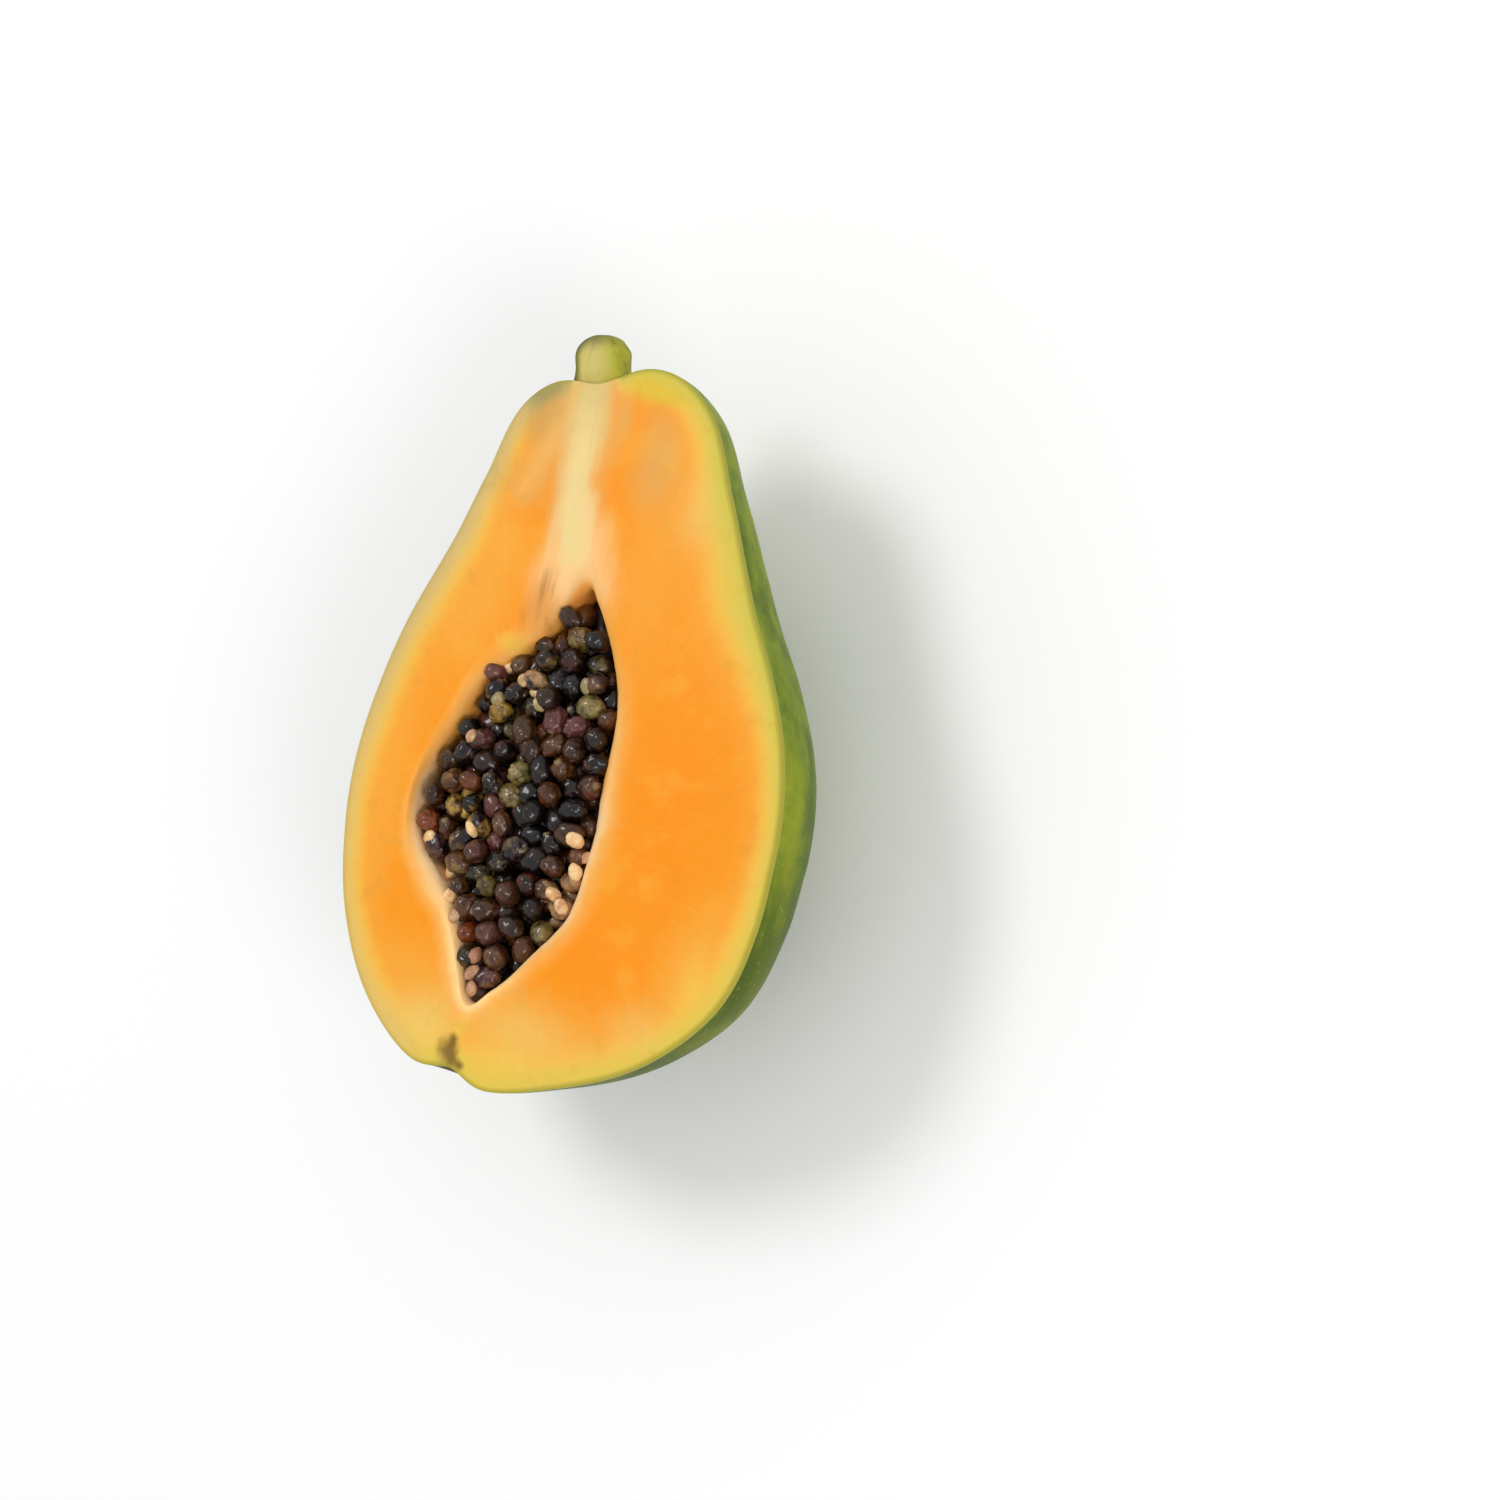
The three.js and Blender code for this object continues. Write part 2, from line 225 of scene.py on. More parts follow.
def backDepth(x, y):
    # how deep the round back lies under a place in the cut face
    left = np.interp(y, leftSide[:, 1], leftSide[:, 0])
    right = np.interp(y, rightSide[:, 1], rightSide[:, 0])
    return openCurve(fruit["fullness"], y) * np.sqrt(np.maximum((x - left) * (right - x), 0))


deepest = float(backDepth(*np.array(fruit["back"], float)))
backFall = math.degrees(math.asin(1 - fruit["restingFlat"] / deepest))


def dented(points):
    # the stalk's basin and the blossom end's dent
    inwards = np.array([*fruit["back"], 0.0]) - points
    inwards /= lengths(inwards)[..., None]
    for middle, depth, width in fruit["hollows"]:
        points = points + inwards * (depth * bell(points, middle, width))[..., None]
    return points


def skinRings(turns, falls):
    # rings of skin points: falls go from 0 at the cut to 90 at the back
    edge = outlineAt(turns)[None]
    back = np.array(fruit["back"], float)
    depth = deepest * np.sin(np.radians(falls))[:, None]
    inner = np.zeros((len(falls), len(turns)))
    outer = np.ones_like(inner)
    for _ in range(fruit["surfaceSteps"]):
        share = (inner + outer) / 2
        place = back + (edge - back) * share[..., None]
        deeper = backDepth(place[..., 0], place[..., 1]) > depth
        inner = np.where(deeper, share, inner)
        outer = np.where(deeper, outer, share)
    share = np.where(depth > 0, inner, 1)
    place = back + (edge - back) * share[..., None]
    points = np.concatenate([place, np.broadcast_to(-depth[..., None], (*share.shape, 1))], -1)
    return dented(points)


def roughenedSkin(points, falls):
    # soft ridges and unevenness, none at the cut and none on the resting spot
    rings, around, _ = points.shape
    outwards = points * np.array([1, 0, 1]) - np.array([fruit["spine"], 0, 0])
    outwards /= lengths(outwards)[..., None]
    angle = np.arctan2(outwards[..., 2], outwards[..., 0])
    amount = ease(falls, 0, 12) * (1 - ease(falls, backFall - 6, backFall))
    swell = fruit["ridgeHeight"] * np.cos(fruit["ridgeCount"] * angle + fruit["ridgeTurn"])
    swell += noiseSum(points, fruit["unevenness"]).reshape(rings, around)
    return points + outwards * (swell * amount[:, None])[..., None]


stalkForm = {
    "base": (-9.1, 68.3, -3.5),  # on its axis, inside the fruit
    "lean": 14,  # degrees from +Y towards -X
    "radius": 6.5,
    "flare": 1.5,
    "flareShape": [(0, 1), (0.55, 0.8), (0.8, 0), (1, 0)],
    "length": 23.8,
    "endRounding": 5,
    "sections": 14,
    "endTurns": range(8, 84, 8),  # sections of the rounded end, in degrees
    "backPoints": 64,
    "cutPoints": 30,
    "wrinkle": 0.3,
    "overlap": 1.2,  # how far it reaches into the fruit, out of sight
    "sunk": 0.02,  # its cut under the fruit's plane
    "dip": 0.45,  # how steeply its cut goes under the fruit's
    "joinAcross": (4.6, 6.8),  # where the fruit's cut stops running on into it, to each side
    "joinAlong": (60, 70),  # and where it starts to, towards the stalk
}

stalkTurn = math.radians(stalkForm["lean"])
stalkAlong = np.array([-math.sin(stalkTurn), math.cos(stalkTurn), 0])
stalkAcross = np.array([stalkAlong[1], -stalkAlong[0], 0])


def nearStalk(points):
    # 1 where the cut face runs on into the stalk
    across = (points - np.array(stalkForm["base"]) * np.array([1, 1, 0])) @ stalkAcross
    beside = ease(np.abs(across), *stalkForm["joinAcross"])
    return (1 - beside) * ease(points[..., 1], *stalkForm["joinAlong"])


def skinPart(turns):
    # the resting spot, the rings of skin round it and the edge that the cut gives them
    steps = np.arange(fruit["skinRings"] + 1) / fruit["skinRings"]
    falls = backFall * (1 - steps ** fruit["skinCrowding"])
    skin = roughenedSkin(skinRings(turns, falls), falls)
    spot = np.array([*fruit["back"], skin[0, 0, 2]])
    flat = [spot + (skin[0] - spot) * share for share in fruit["restingShares"]]
    return spot, flat + list(skin[:-1]), skin[-1, :, :2]


def facePart(turns, edge):
    # the cut face, from the rounding at the skin to the cavity's rim
    rim = rimAt(turns)
    reach = lengths(rim - edge)
    towardsRim = (rim - edge) / reach[:, None]
    # hardly rounded where the stalk joins it
    rounding = fruit["cutEdge"] * (1 - 0.9 * nearStalk(np.column_stack([edge, np.zeros(len(turns))])))
    rings = []
    for turn in np.radians([0, 30, 60]):
        flat = edge + towardsRim * (rounding * (1 - math.cos(turn)))[:, None]
        rings.append(np.column_stack([flat, rounding * (math.sin(turn) - 1)]))
    nearEdge = [0.6, 0.9, 1.3, 1.8, 2.5, 3.4]  # rings this far from the edge, and from the rim
    nearRim = [2.4, 1.5, 0.9, 0.5, 0.2]
    middle = fruit["faceRings"] - len(nearEdge) - len(nearRim) - 1
    spans = [rounding] + [np.full(len(turns), inset) for inset in nearEdge]
    for step in range(1, middle + 1):
        spans.append(nearEdge[-1] + (reach - nearRim[0] - nearEdge[-1]) * step / (middle + 1))
    spans += [reach - inset for inset in nearRim]
    scarMiddle, scarWidth, scarDepth = fruit["scar"]
    for span in spans:
        points = np.column_stack([edge + towardsRim * span[:, None], np.zeros(len(turns))])
        relief = noiseSum(points, fruit["cutNoises"]) - fruit["cutSunk"]
        calm = ease(span, 0.5, 3) * ease(reach - span, 0, 3)
        points[:, 2] = fruit["cutRelief"] * relief * calm
        points[:, 2] -= scarDepth * bell(points, scarMiddle, scarWidth)
        rings.append(points)
    return rings


def lipHeight(shares):
    # of the sloping lip: shares go from 0 at the rim to 1 at its foot
    full = math.radians(cavity["lipTurn"])
    rounded = (1 - np.cos(full * shares)) / (1 - math.cos(full))
    roundness = cavity["lipRoundness"]
    return -cavity["lipDepth"] * (roundness * rounded + (1 - roundness) * shares)


def lipPoints(turns, shares):
    full = math.radians(cavity["lipTurn"])
    inwards = closedCurve(cavity["lip"], turns) * np.sin(full * shares) / math.sin(full)
    return np.column_stack([rimAt(turns, inwards), lipHeight(shares)])


def wallRing(turns, fall, inset=0.0):
    # a ring of the cavity's wall: its fall goes from 0 at the lip's foot to 90 at the bottom
    fall = math.radians(fall)
    middle = np.array(cavity["centre"], float)
    wall = rimAt(turns, closedCurve(cavity["lip"], turns) + inset) - middle
    drop = cavity["lipDepth"] + (cavity["depth"] - cavity["lipDepth"] - inset) * math.sin(fall)
    return np.column_stack([middle + wall * math.cos(fall), np.full(len(turns), -drop)])


def cavityPart(turns):
    # the lip and the wall below it, down to the bottom
    rings = []
    for share in cavity["lipShares"]:
        points = lipPoints(turns, np.full(len(turns), share))
        points[:, 2] += cavity["lipRelief"] * share * (noiseAt(points, 2.4, 8) - 0.5)
        rings.append(points)
    for step in range(cavity["rings"]):
        fall = 90 * step / cavity["rings"]
        points = wallRing(turns, fall)
        bulge = cavity["wallRelief"] * math.cos(math.radians(fall))
        bulge *= noiseAt(points * np.array([1, 1, 0.35]), 2.2, 2)
        points[:, :2] += ringAt((0, 0), bulge, turns)
        rings.append(points)
    return rings


faceTurns = np.arange(fruit["around"]) * 360 / fruit["around"]
restingSpot, skinForm, cutEdge = skinPart(faceTurns)
faceForm = facePart(faceTurns, cutEdge)
cavityForm = cavityPart(faceTurns)
fleshForm = [*skinForm, *faceForm, *cavityForm]
cavityBottom = np.array([*cavity["centre"], -cavity["depth"]])

# the datum's place in the frame
formPoints = np.concatenate(fleshForm)
fleshLow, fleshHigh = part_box("flesh")
datum = Vector((
    (fleshLow.x + fleshHigh.x) / 2 - (formPoints[:, 0].min() + formPoints[:, 0].max()) / 2000,
    fleshLow.y - formPoints[:, 1].min() / 1000,
    fleshHigh.z,
))


def ringFaces(ringCount, around):
    # faces over rings of points; the point before them closes one end and the one after them the other
    faces = []
    for ring in range(ringCount - 1):
        low = 1 + ring * around
        for k in range(around):
            following = (k + 1) % around
            faces.append((low + k, low + following, low + around + following, low + around + k))
    last = 1 + ringCount * around
    top = last - around
    faces += [(0, 1 + (k + 1) % around, 1 + k) for k in range(around)]
    faces += [(last, top + k, top + (k + 1) % around) for k in range(around)]
    return faces


def newObject(name, data):
    item = bpy.data.objects.new(name, data)
    bpy.context.scene.collection.objects.link(item)
    return item


def newPiece(name, node, points, faces, materials, values, faceMaterials=None):
    # a piece that stands for a node, from points in millimetres; values hold a number for each point
    mesh = bpy.data.meshes.new(name)
    placed = np.asarray(points, float) / 1000 + np.array(datum)
    mesh.from_pydata(placed.tolist(), [], [tuple(face) for face in faces])
    for material in materials:
        mesh.materials.append(material)
    for label, numbers in values.items():
        layer = mesh.attributes.new(label, "FLOAT", "POINT")
        layer.data.foreach_set("value", np.asarray(numbers, np.float32))
    if faceMaterials is not None:
        mesh.polygons.foreach_set("material_index", np.asarray(faceMaterials, np.int32))
    mesh.polygons.foreach_set("use_smooth", [True] * len(mesh.polygons))
    mesh.update()
    piece = newObject(name, mesh)
    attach(piece, "root")
    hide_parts(node)


def mathNode(operation, reflected=False):
    # an operator of a wire; reflected, the wire is on its right
    def workedOut(wire, other):
        values = (other, wire) if reflected else (wire, other)
        return wire.shader.make("ShaderNodeMath", {"operation": operation}, dict(enumerate(values)))

    return workedOut


class Wire:
    # a shader socket that works out sums: wire * 2 + 1 adds the Math nodes for it
    __add__, __radd__ = mathNode("ADD"), mathNode("ADD", True)
    __sub__, __rsub__ = mathNode("SUBTRACT"), mathNode("SUBTRACT", True)
    __mul__, __rmul__ = mathNode("MULTIPLY"), mathNode("MULTIPLY", True)
    __truediv__, __rtruediv__ = mathNode("DIVIDE"), mathNode("DIVIDE", True)
    __pow__, __rpow__ = mathNode("POWER"), mathNode("POWER", True)
    most = mathNode("MAXIMUM")

    def __init__(self, shader, socket):
        self.shader = shader
        self.socket = socket

    def rise(self, low, high):
        # 0 at low, 1 at high, and smooth between
        sockets = {"Value": self, "From Min": low, "From Max": high}
        return self.shader.make("ShaderNodeMapRange", {"interpolation_type": "SMOOTHSTEP"}, sockets)

    def fall(self, low, high):
        return 1 - self.rise(low, high)


class Shader:
    def __init__(self, name):
        self.material = bpy.data.materials.new(name)
        self.material.use_nodes = True
        self.tree = self.material.node_tree
        self.tree.nodes.clear()

    def make(self, kind, settings=None, sockets=None, out=0):
        # one node: its settings first, then its sockets by name or number, as values or wires
        node = self.tree.nodes.new(kind)
        for name, value in (settings or {}).items():
            setattr(node, name, value)
        for name, value in (sockets or {}).items():
            if isinstance(value, Wire):
                self.tree.links.new(value.socket, node.inputs[name])
            else:
                node.inputs[name].default_value = value
        return Wire(self, node.outputs[out]) if node.outputs else None

    def mix(self, first, second, amount):
        sockets = {0: amount, 6: first, 7: second}
        return self.make("ShaderNodeMix", {"data_type": "RGBA"}, sockets, 2)

    def value(self, name):
        return self.make("ShaderNodeAttribute", {"attribute_name": name}, None, "Fac")

    def place(self):
        return self.make("ShaderNodeTexCoord", None, None, "Object")

    def part(self, vector, axis):
        return self.make("ShaderNodeSeparateXYZ", None, {"Vector": vector}, axis)

    def stretched(self, scale, turn=0):
        sockets = {"Vector": self.place(), "Rotation": (0, 0, math.radians(turn)), "Scale": scale}
        return self.make("ShaderNodeMapping", None, sockets)

    def noise(self, vector, scale, detail=2.0, roughness=0.5):
        # about 0.5 on average
        sockets = {"Vector": vector, "Scale": scale, "Detail": detail, "Roughness": roughness}
        return self.make("ShaderNodeTexNoise", None, sockets, "Fac")

    def bump(self, height, distance):
        return self.make("ShaderNodeBump", None, {"Distance": distance, "Height": height})

    def laid(self, color, look, layers, edge):
        # each layer's colour, laid on where the value of the same name is high
        for name, (ragged, low, high, strength) in look[layers].items():
            amount = (self.value(name) + edge * ragged).rise(low, high) * strength
            color = self.mix(color, look[name], amount)
        return color

    def finish(self, sockets):
        surface = self.make("ShaderNodeBsdfPrincipled", None, sockets)
        self.make("ShaderNodeOutputMaterial", None, {"Surface": surface})
        return self.material


def paint(red, green, blue):
    # a colour from 0-255 values
    channels = [value / 255 for value in (red, green, blue)]
    return (*[c / 12.92 if c <= 0.04045 else ((c + 0.055) / 1.055) ** 2.4 for c in channels], 1.0)


# the flesh's cut face and cavity

pulp = {
    "orange": paint(237, 145, 16),
    "deep": paint(240, 140, 8),
    "soft": paint(236, 160, 50),
    "dull": paint(216, 160, 80),
    "yellow": paint(232, 188, 74),
    "butter": paint(228, 190, 100),
    "shoulder": paint(216, 182, 50),
    "tan": paint(200, 152, 78),
    "bandGreen": paint(200, 187, 74),
    "bandPale": paint(200, 174, 112),
    "rindGreen": paint(150, 146, 46),
    "cream": paint(250, 208, 140),
    "peach": paint(242, 180, 94),
    "core": paint(228, 204, 138),
    "coreTop": paint(206, 184, 112),
    "coreSide": paint(214, 174, 106),
    "fork": paint(240, 200, 140),
    "wall": paint(246, 168, 74),
    "paleWall": paint(252, 208, 156),
    # painted shade: the cavity's wall goes darker the deeper it lies
    "deepWallShade": paint(204, 124, 48),
    "apex": paint(206, 140, 66),
    "streak": paint(152, 90, 32),
    # the olive laid on the cut face is painted shade along its top-left rim
    "olive": paint(148, 138, 84),
    "scar": paint(112, 84, 26),
    "roughness": 0.44,
    # colours laid over others: how ragged the edge is, where it begins and is full, and its strength
    "patchLayers": {
        "soft": (0.8, 0.05, 0.95, 1),
        "deep": (0.9, 0.1, 1, 1),
        "dull": (0.6, 0.15, 1, 0.9),
    },
    "endLayers": {
        "tan": (0.5, 0.1, 0.95, 0.9),
        "butter": (0.5, 0.1, 1, 0.8),
        "shoulder": (0.5, 0.15, 0.8, 1),
    },
    "coreLayers": {
        "coreSide": (1, 0.18, 1, 0.65),
        "fork": (1, 0.15, 0.85, 0.85),
    },
}

# patches of the cut face: middle, half sizes and strength
pulpPatches = {
    "deep": [((31, -14), (14, 34), 0.9), ((21, -48), (16, 12), 1.0), ((-1, 54), (4, 18), 0.5)],
    "soft": [
        ((-46, -22), (9, 36), 0.7), ((-33, 33), (12, 26), 1.0), ((14, 44), (12, 34), 0.6),
        ((-28, -68), (18, 15), 1.0), ((2, -70), (14, 9), 0.8), ((46, -50), (10, 18), 1.0),
    ],
    "dull": [((10, 66), (9, 16), 0.9), ((-2, 74), (3, 12), 0.7), ((-24, 60), (7, 12), 0.8)],
    "tan": [((-24, 72), (10, 9), 1.0), ((-31, 58), (6, 12), 0.45)],
    "yellow": [((4, -82), (30, 12), 1.0), ((-22, -80), (17, 12), 1.0), ((49, -54), (8, 16), 0.8)],
    "butter": [
        ((-22, -72), (14, 9), 0.8), ((8, -69), (22, 10), 0.65), ((34, -63), (12, 9), 0.55),
        ((-12, 68), (16, 12), 0.5), ((23, 55), (8, 12), 0.65),
    ],
    "shoulder": [((8, 82), (13, 5), 1.0)],
    # where the painted shade on the top-left rim lies
    "olive": [((-25, 78), (10, 8), 1.0)],
    "apex": [((-13.5, 27), (6, 8), 0.8), ((-19, 19), (5, 5), 0.4)],
    "streak": [((-12.4, 31), (4.5, 6), 1.0), ((-15, 24), (6, 5), 0.6)],
    "lip": [((-20, 17.5), (6, 4), 0.75)],
}

# round the fruit and round the cavity: widths in millimetres, and the pale rim's strength
pulpRound = {
    "leftward": (16, 30),  # how far towards -X this begins and is full
    "upward": (-46, 24),  # and this towards +Y
    "bandWidth": [
        (0, 6), (30, 7), (50, 9.5), (66, 11), (80, 7.5), (97, 4), (110, 6), (125, 8.5),
        (160, 7.5), (200, 6), (240, 7), (270, 8), (300, 8), (330, 7),
    ],
    "paleWidth": [
        (0, 11.5), (35, 10), (62, 7), (85, 8), (100, 9), (130, 6), (180, 4), (225, 8.5),
        (250, 8), (268, 6.5), (300, 9), (330, 11),
    ],
    "paleness": [
        (0, 1), (40, 1), (66, 0.75), (110, 0.75), (150, 0.7), (185, 0.65), (225, 1), (265, 1), (310, 0.85),
    ],
}

# the skin's ends: middle and reach
pulpEnds = {
    "stalkEnd": ((-12, 84, -4), 26),
    "blossomEnd": ((-12, -82, -3), 8),
}

# strands in the cut face: each knot has its place and half width
pulpStrands = {
    "core": [(-13.6, 86, 9.6), (-11.8, 70, 9), (-11.4, 58, 8.2), (-9.4, 47, 9), (-8.4, 41, 8.6)],
    "coreSide": [(-13.6, 88, 15), (-12, 70, 16), (-11.8, 58, 14), (-9.6, 47, 13)],
    "fork": [(-8.8, 51, 8.4), (-8.3, 46.5, 12), (-7.1, 42.5, 15.5), (-6.8, 36, 20)],
    "sideStrand": [(-15, 75, 6), (-17.5, 70, 6.5), (-22.2, 62, 6.5), (-26, 52, 5)],
    "seam": [(-9.4, -65, 2), (-10, -70, 2.4), (-12, -74, 2.4)],
    "scar": [(-12.2, -74.6, 2.2), (-12.8, -77.2, 4.4), (-11.2, -79.2, 3), (-8.8, -80.2, 1.8)],
}


def nearestOf(samples, points):
    # distance from each point to the nearest sample, across the cut face
    tree = kdtree.KDTree(len(samples))
    for index, (x, y) in enumerate(samples):
        tree.insert((x, y, 0), index)
    tree.balance()
    return np.array([tree.find((x, y, 0))[2] for x, y in points[:, :2]])


def fleshValues(points, ringIndex):
    # what the flesh's shaders read at every point
    onFace = ringIndex > len(skinForm)
    inside = ringIndex >= len(skinForm) + len(faceForm)
    onWall = ringIndex >= len(skinForm) + len(faceForm) + len(cavity["lipShares"])
    between = (cutEdge + np.roll(cutEdge, -1, 0)) / 2
    rind = np.where(onFace, nearestOf(np.concatenate([cutEdge, between]), points), 0)
    footTurns = np.arange(0, 360, 0.4)
    foot = lipPoints(footTurns, np.ones(len(footTurns)))[:, :2]
    fromFoot = np.where(onWall, 0, nearestOf(foot, points))
    turn, _ = turnAbout(fruit["centre"], points)
    rimTurn, _ = turnAbout(cavity["centre"], points)
    pale = 1 - np.clip(fromFoot / closedCurve(pulpRound["paleWidth"], rimTurn), 0, 1)
    values = {
        "rind": rind + 3 * nearStalk(points),
        "band": rind / closedCurve(pulpRound["bandWidth"], turn) + 1.2 * nearStalk(points),
        "pale": pale * closedCurve(pulpRound["paleness"], rimTurn),
        "inside": np.where(inside, -points[:, 2], 0),
        "leftward": ease(-points[:, 0], *pulpRound["leftward"]),
        "upward": ease(points[:, 1], *pulpRound["upward"]),
    }
    for name, (middle, reach) in pulpEnds.items():
        values[name] = 1 - np.clip(lengths(points - np.array(middle)) / reach, 0, 1)
    for name, patches in pulpPatches.items():
        values[name] = np.zeros(len(points))
        for (x, y), (halfX, halfY), strength in patches:
            away = ((points[:, 0] - x) / halfX) ** 2 + ((points[:, 1] - y) / halfY) ** 2
            values[name] = np.maximum(values[name], strength * np.exp(-away))
    for name, line in pulpStrands.items():
        values[name] = nearLine(points, line)
    return values


def pulpMaterial():
    shader = Shader("papayaPulp")
    mix, value = shader.mix, shader.value
    place = shader.place()
    x = shader.part(place, "X") * 1000 - (datum.x * 1000 + cavity["centre"][0])
    y = shader.part(place, "Y") * 1000 - (datum.y * 1000 + cavity["centre"][1])
    away = ((x * x + y * y) ** 0.5).most(1)

    def rayed(fineness, along):
        # fibres that run out from the cavity
        rays = {0: x / away * fineness, 1: y / away * fineness, 2: along}
        return shader.noise(shader.make("ShaderNodeCombineXYZ", None, rays), 1.0, 3.0, 0.6)

    fibre = rayed(24, away * 0.05)
    wallFibre = rayed(46, value("inside") * 0.12)
    cloud = shader.noise(place, 60.0, 3.0, 0.55)
    mottle = shader.noise(place, 260.0, 3.0, 0.6)
    grain = shader.noise(place, 1500.0, 2.0, 0.6)
    wander = (cloud - 0.5) * 0.8 + (mottle - 0.5) * 0.3 + (fibre - 0.5) * 0.35

    color = shader.laid(pulp["orange"], pulp, "patchLayers", wander)
    color = mix(color, pulp["soft"], (mottle * 0.55 + fibre * 0.45).rise(0.5, 0.72) * 0.45)
    color = mix(color, pulp["yellow"], (cloud * 0.75 + mottle * 0.1 + fibre * 0.15).fall(0.36, 0.48) * 0.2)

    band = value("band") + wander * 0.35
    color = mix(color, pulp["soft"], band.fall(0.8, 2.2) * 0.7)
    yellow = (value("yellow") + wander * 0.5).rise(0.2, 0.95)
    color = mix(color, pulp["yellow"], yellow.most(band.fall(0.35, 1.35) * 0.95))
    color = shader.laid(color, pulp, "endLayers", wander)
    bandColor = mix(pulp["bandGreen"], pulp["bandPale"], value("leftward"))
    color = mix(color, bandColor, band.fall(0.0, 0.95) * (0.6 + value("upward") * 0.4))
    # painted shade: a grey-olive darkening of the top-left rim, near the edge
    olive = (value("olive") + wander * 0.4).rise(0.2, 0.9) * band.fall(0.3, 1.2)
    color = mix(color, pulp["olive"], olive * 0.9)
    color = mix(color, pulp["yellow"], (value("seam") + wander * 0.3).rise(0.1, 0.9) * 0.7)

    strand = shader.noise(shader.stretched((420, 32, 300), 9), 1.0, 3.0, 0.6)
    frayed = (strand - 0.5) * 0.45 + wander * 0.35
    color = mix(color, pulp["peach"], (value("sideStrand") + frayed).rise(0.2, 1.1) * 0.45)
    paleColor = mix(pulp["peach"], pulp["cream"], (value("pale") + wander * 0.3).rise(0.5, 0.9))
    color = mix(color, paleColor, (value("pale") + wander * 0.4).rise(0.1, 0.8) * 0.95)
    color = shader.laid(color, pulp, "coreLayers", frayed)
    coreColor = mix(pulp["core"], pulp["coreTop"], (y + wander * 14).rise(82, 106))
    coreColor = mix(coreColor, pulp["coreSide"], strand.rise(0.5, 0.75) * 0.4)
    color = mix(color, coreColor, (value("core") + frayed).rise(0.18, 0.85) * 0.95)

    depth = value("inside") + wander * 2
    wallColor = mix(pulp["paleWall"], pulp["wall"], value("upward").rise(0.3, 0.6))
    color = mix(color, wallColor, depth.rise(0.4, 3) * 0.9)
    # painted shade: the wall turns darker brown from 3.5 to 8 mm down in the cavity
    color = mix(color, pulp["deepWallShade"], depth.rise(3.5, 8) * 0.8)
    color = mix(color, pulp["apex"], (value("apex") + frayed * 0.8).rise(0.2, 0.95) * 0.75)
    color = mix(color, pulp["yellow"], (value("lip") + wander * 0.6).rise(0.3, 0.9) * 0.8)
    streaks = shader.noise(shader.stretched((520, 60, 400), 9), 1.0, 1.0, 0.4) + (mottle - 0.5) * 0.2
    color = mix(color, pulp["streak"], streaks.rise(0.46, 0.76) * value("streak").rise(0.2, 0.9) * 0.7)

    rind = value("rind") + (mottle - 0.5) * 0.5
    color = mix(color, pulp["rindGreen"], rind.fall(0.1, 1.5) * (0.75 - value("leftward") * 0.4))
    scar = (value("scar") + (mottle - 0.5) * 0.5 + wander * 0.5).rise(0.0, 0.9)
    color = mix(color, pulp["scar"], scar * 0.9)

    height = mottle * 0.5 + grain * 0.25 + fibre * 0.4 + wallFibre * value("inside").rise(0.5, 3) * 0.6
    return shader.finish({
        "Base Color": color,
        "Roughness": pulp["roughness"] + (mottle - 0.5) * 0.18,
        "Subsurface Weight": 0.15,
        "Subsurface Radius": (1.0, 0.42, 0.16),
        "Subsurface Scale": 0.002,
        "Specular IOR Level": 0.14,
        "Normal": shader.bump(height, 0.00024),
    })


skin = {
    "green": paint(104, 126, 14),
    "fresh": paint(136, 148, 20),
    "dark": paint(70, 90, 10),
    "ripe": paint(160, 154, 18),
    # lighter lengthwise streaks, partly a painted highlight
    "streakAndHighlight": paint(148, 162, 62),
    # painted shade towards the blossom end
    "low": paint(68, 84, 2),
    "stalkEnd": paint(164, 162, 50),
    "dot": paint(156, 164, 70),
    "blossom": paint(84, 66, 34),
    "roughness": 0.46,
}


def skinMaterial():
    shader = Shader("papayaSkin")
    mix, value = shader.mix, shader.value
    place = shader.place()
    along = shader.stretched((1.0, 0.36, 1.0))
    cloud = shader.noise(along, 38.0, 4.0, 0.55)
    patch = shader.noise(along, 19.0, 3.0, 0.5)
    streak = shader.noise(shader.stretched((150, 14, 150)), 1.0, 3.0, 0.6)
    mottle = shader.noise(place, 170.0, 4.0, 0.62)
    fine = shader.noise(place, 1000.0, 2.0, 0.5)
    dots = shader.make("ShaderNodeTexVoronoi", None, {"Vector": place, "Scale": 360.0}, "Distance")
    # the upward term makes the skin darker towards the blossom end: painted shade
    green = cloud + (mottle - 0.5) * 0.4 + value("upward") * 0.1
    color = mix(skin["green"], skin["fresh"], green.rise(0.46, 0.7))
    color = mix(color, skin["dark"], green.fall(0.38, 0.56) * 0.8)
    color = mix(color, skin["ripe"], (patch + (mottle - 0.5) * 0.3).rise(0.53, 0.7) * 0.7)
    # painted shade: darker towards the blossom end
    color = mix(color, skin["low"], (value("upward") + (patch - 0.5) * 1.2).fall(0.0, 0.6) * 0.7)
    # lighter lengthwise streaks: partly the skin's own, partly a painted highlight
    color = mix(color, skin["streakAndHighlight"], (streak + (mottle - 0.5) * 0.3).rise(0.56, 0.74) * 0.35)
    color = mix(color, skin["stalkEnd"], (value("stalkEnd") + (mottle - 0.5) * 0.6).rise(0.1, 0.9) * 0.85)
    dotted = dots.fall(0.08, 0.2)
    color = mix(color, skin["dot"], dotted * 0.4)
    blossom = (value("blossomEnd") + (mottle - 0.5) * 0.5).rise(0.3, 0.75)
    color = mix(color, skin["blossom"], blossom * 0.9)
    height = mottle * 0.5 + fine * 0.2 + streak * 0.2 - dotted * 0.15
    return shader.finish({
        "Base Color": color,
        "Roughness": skin["roughness"] + (mottle - 0.5) * 0.2 + blossom * 0.3,
        "Specular IOR Level": 0.1,
        "Normal": shader.bump(height, 0.00026),
    })


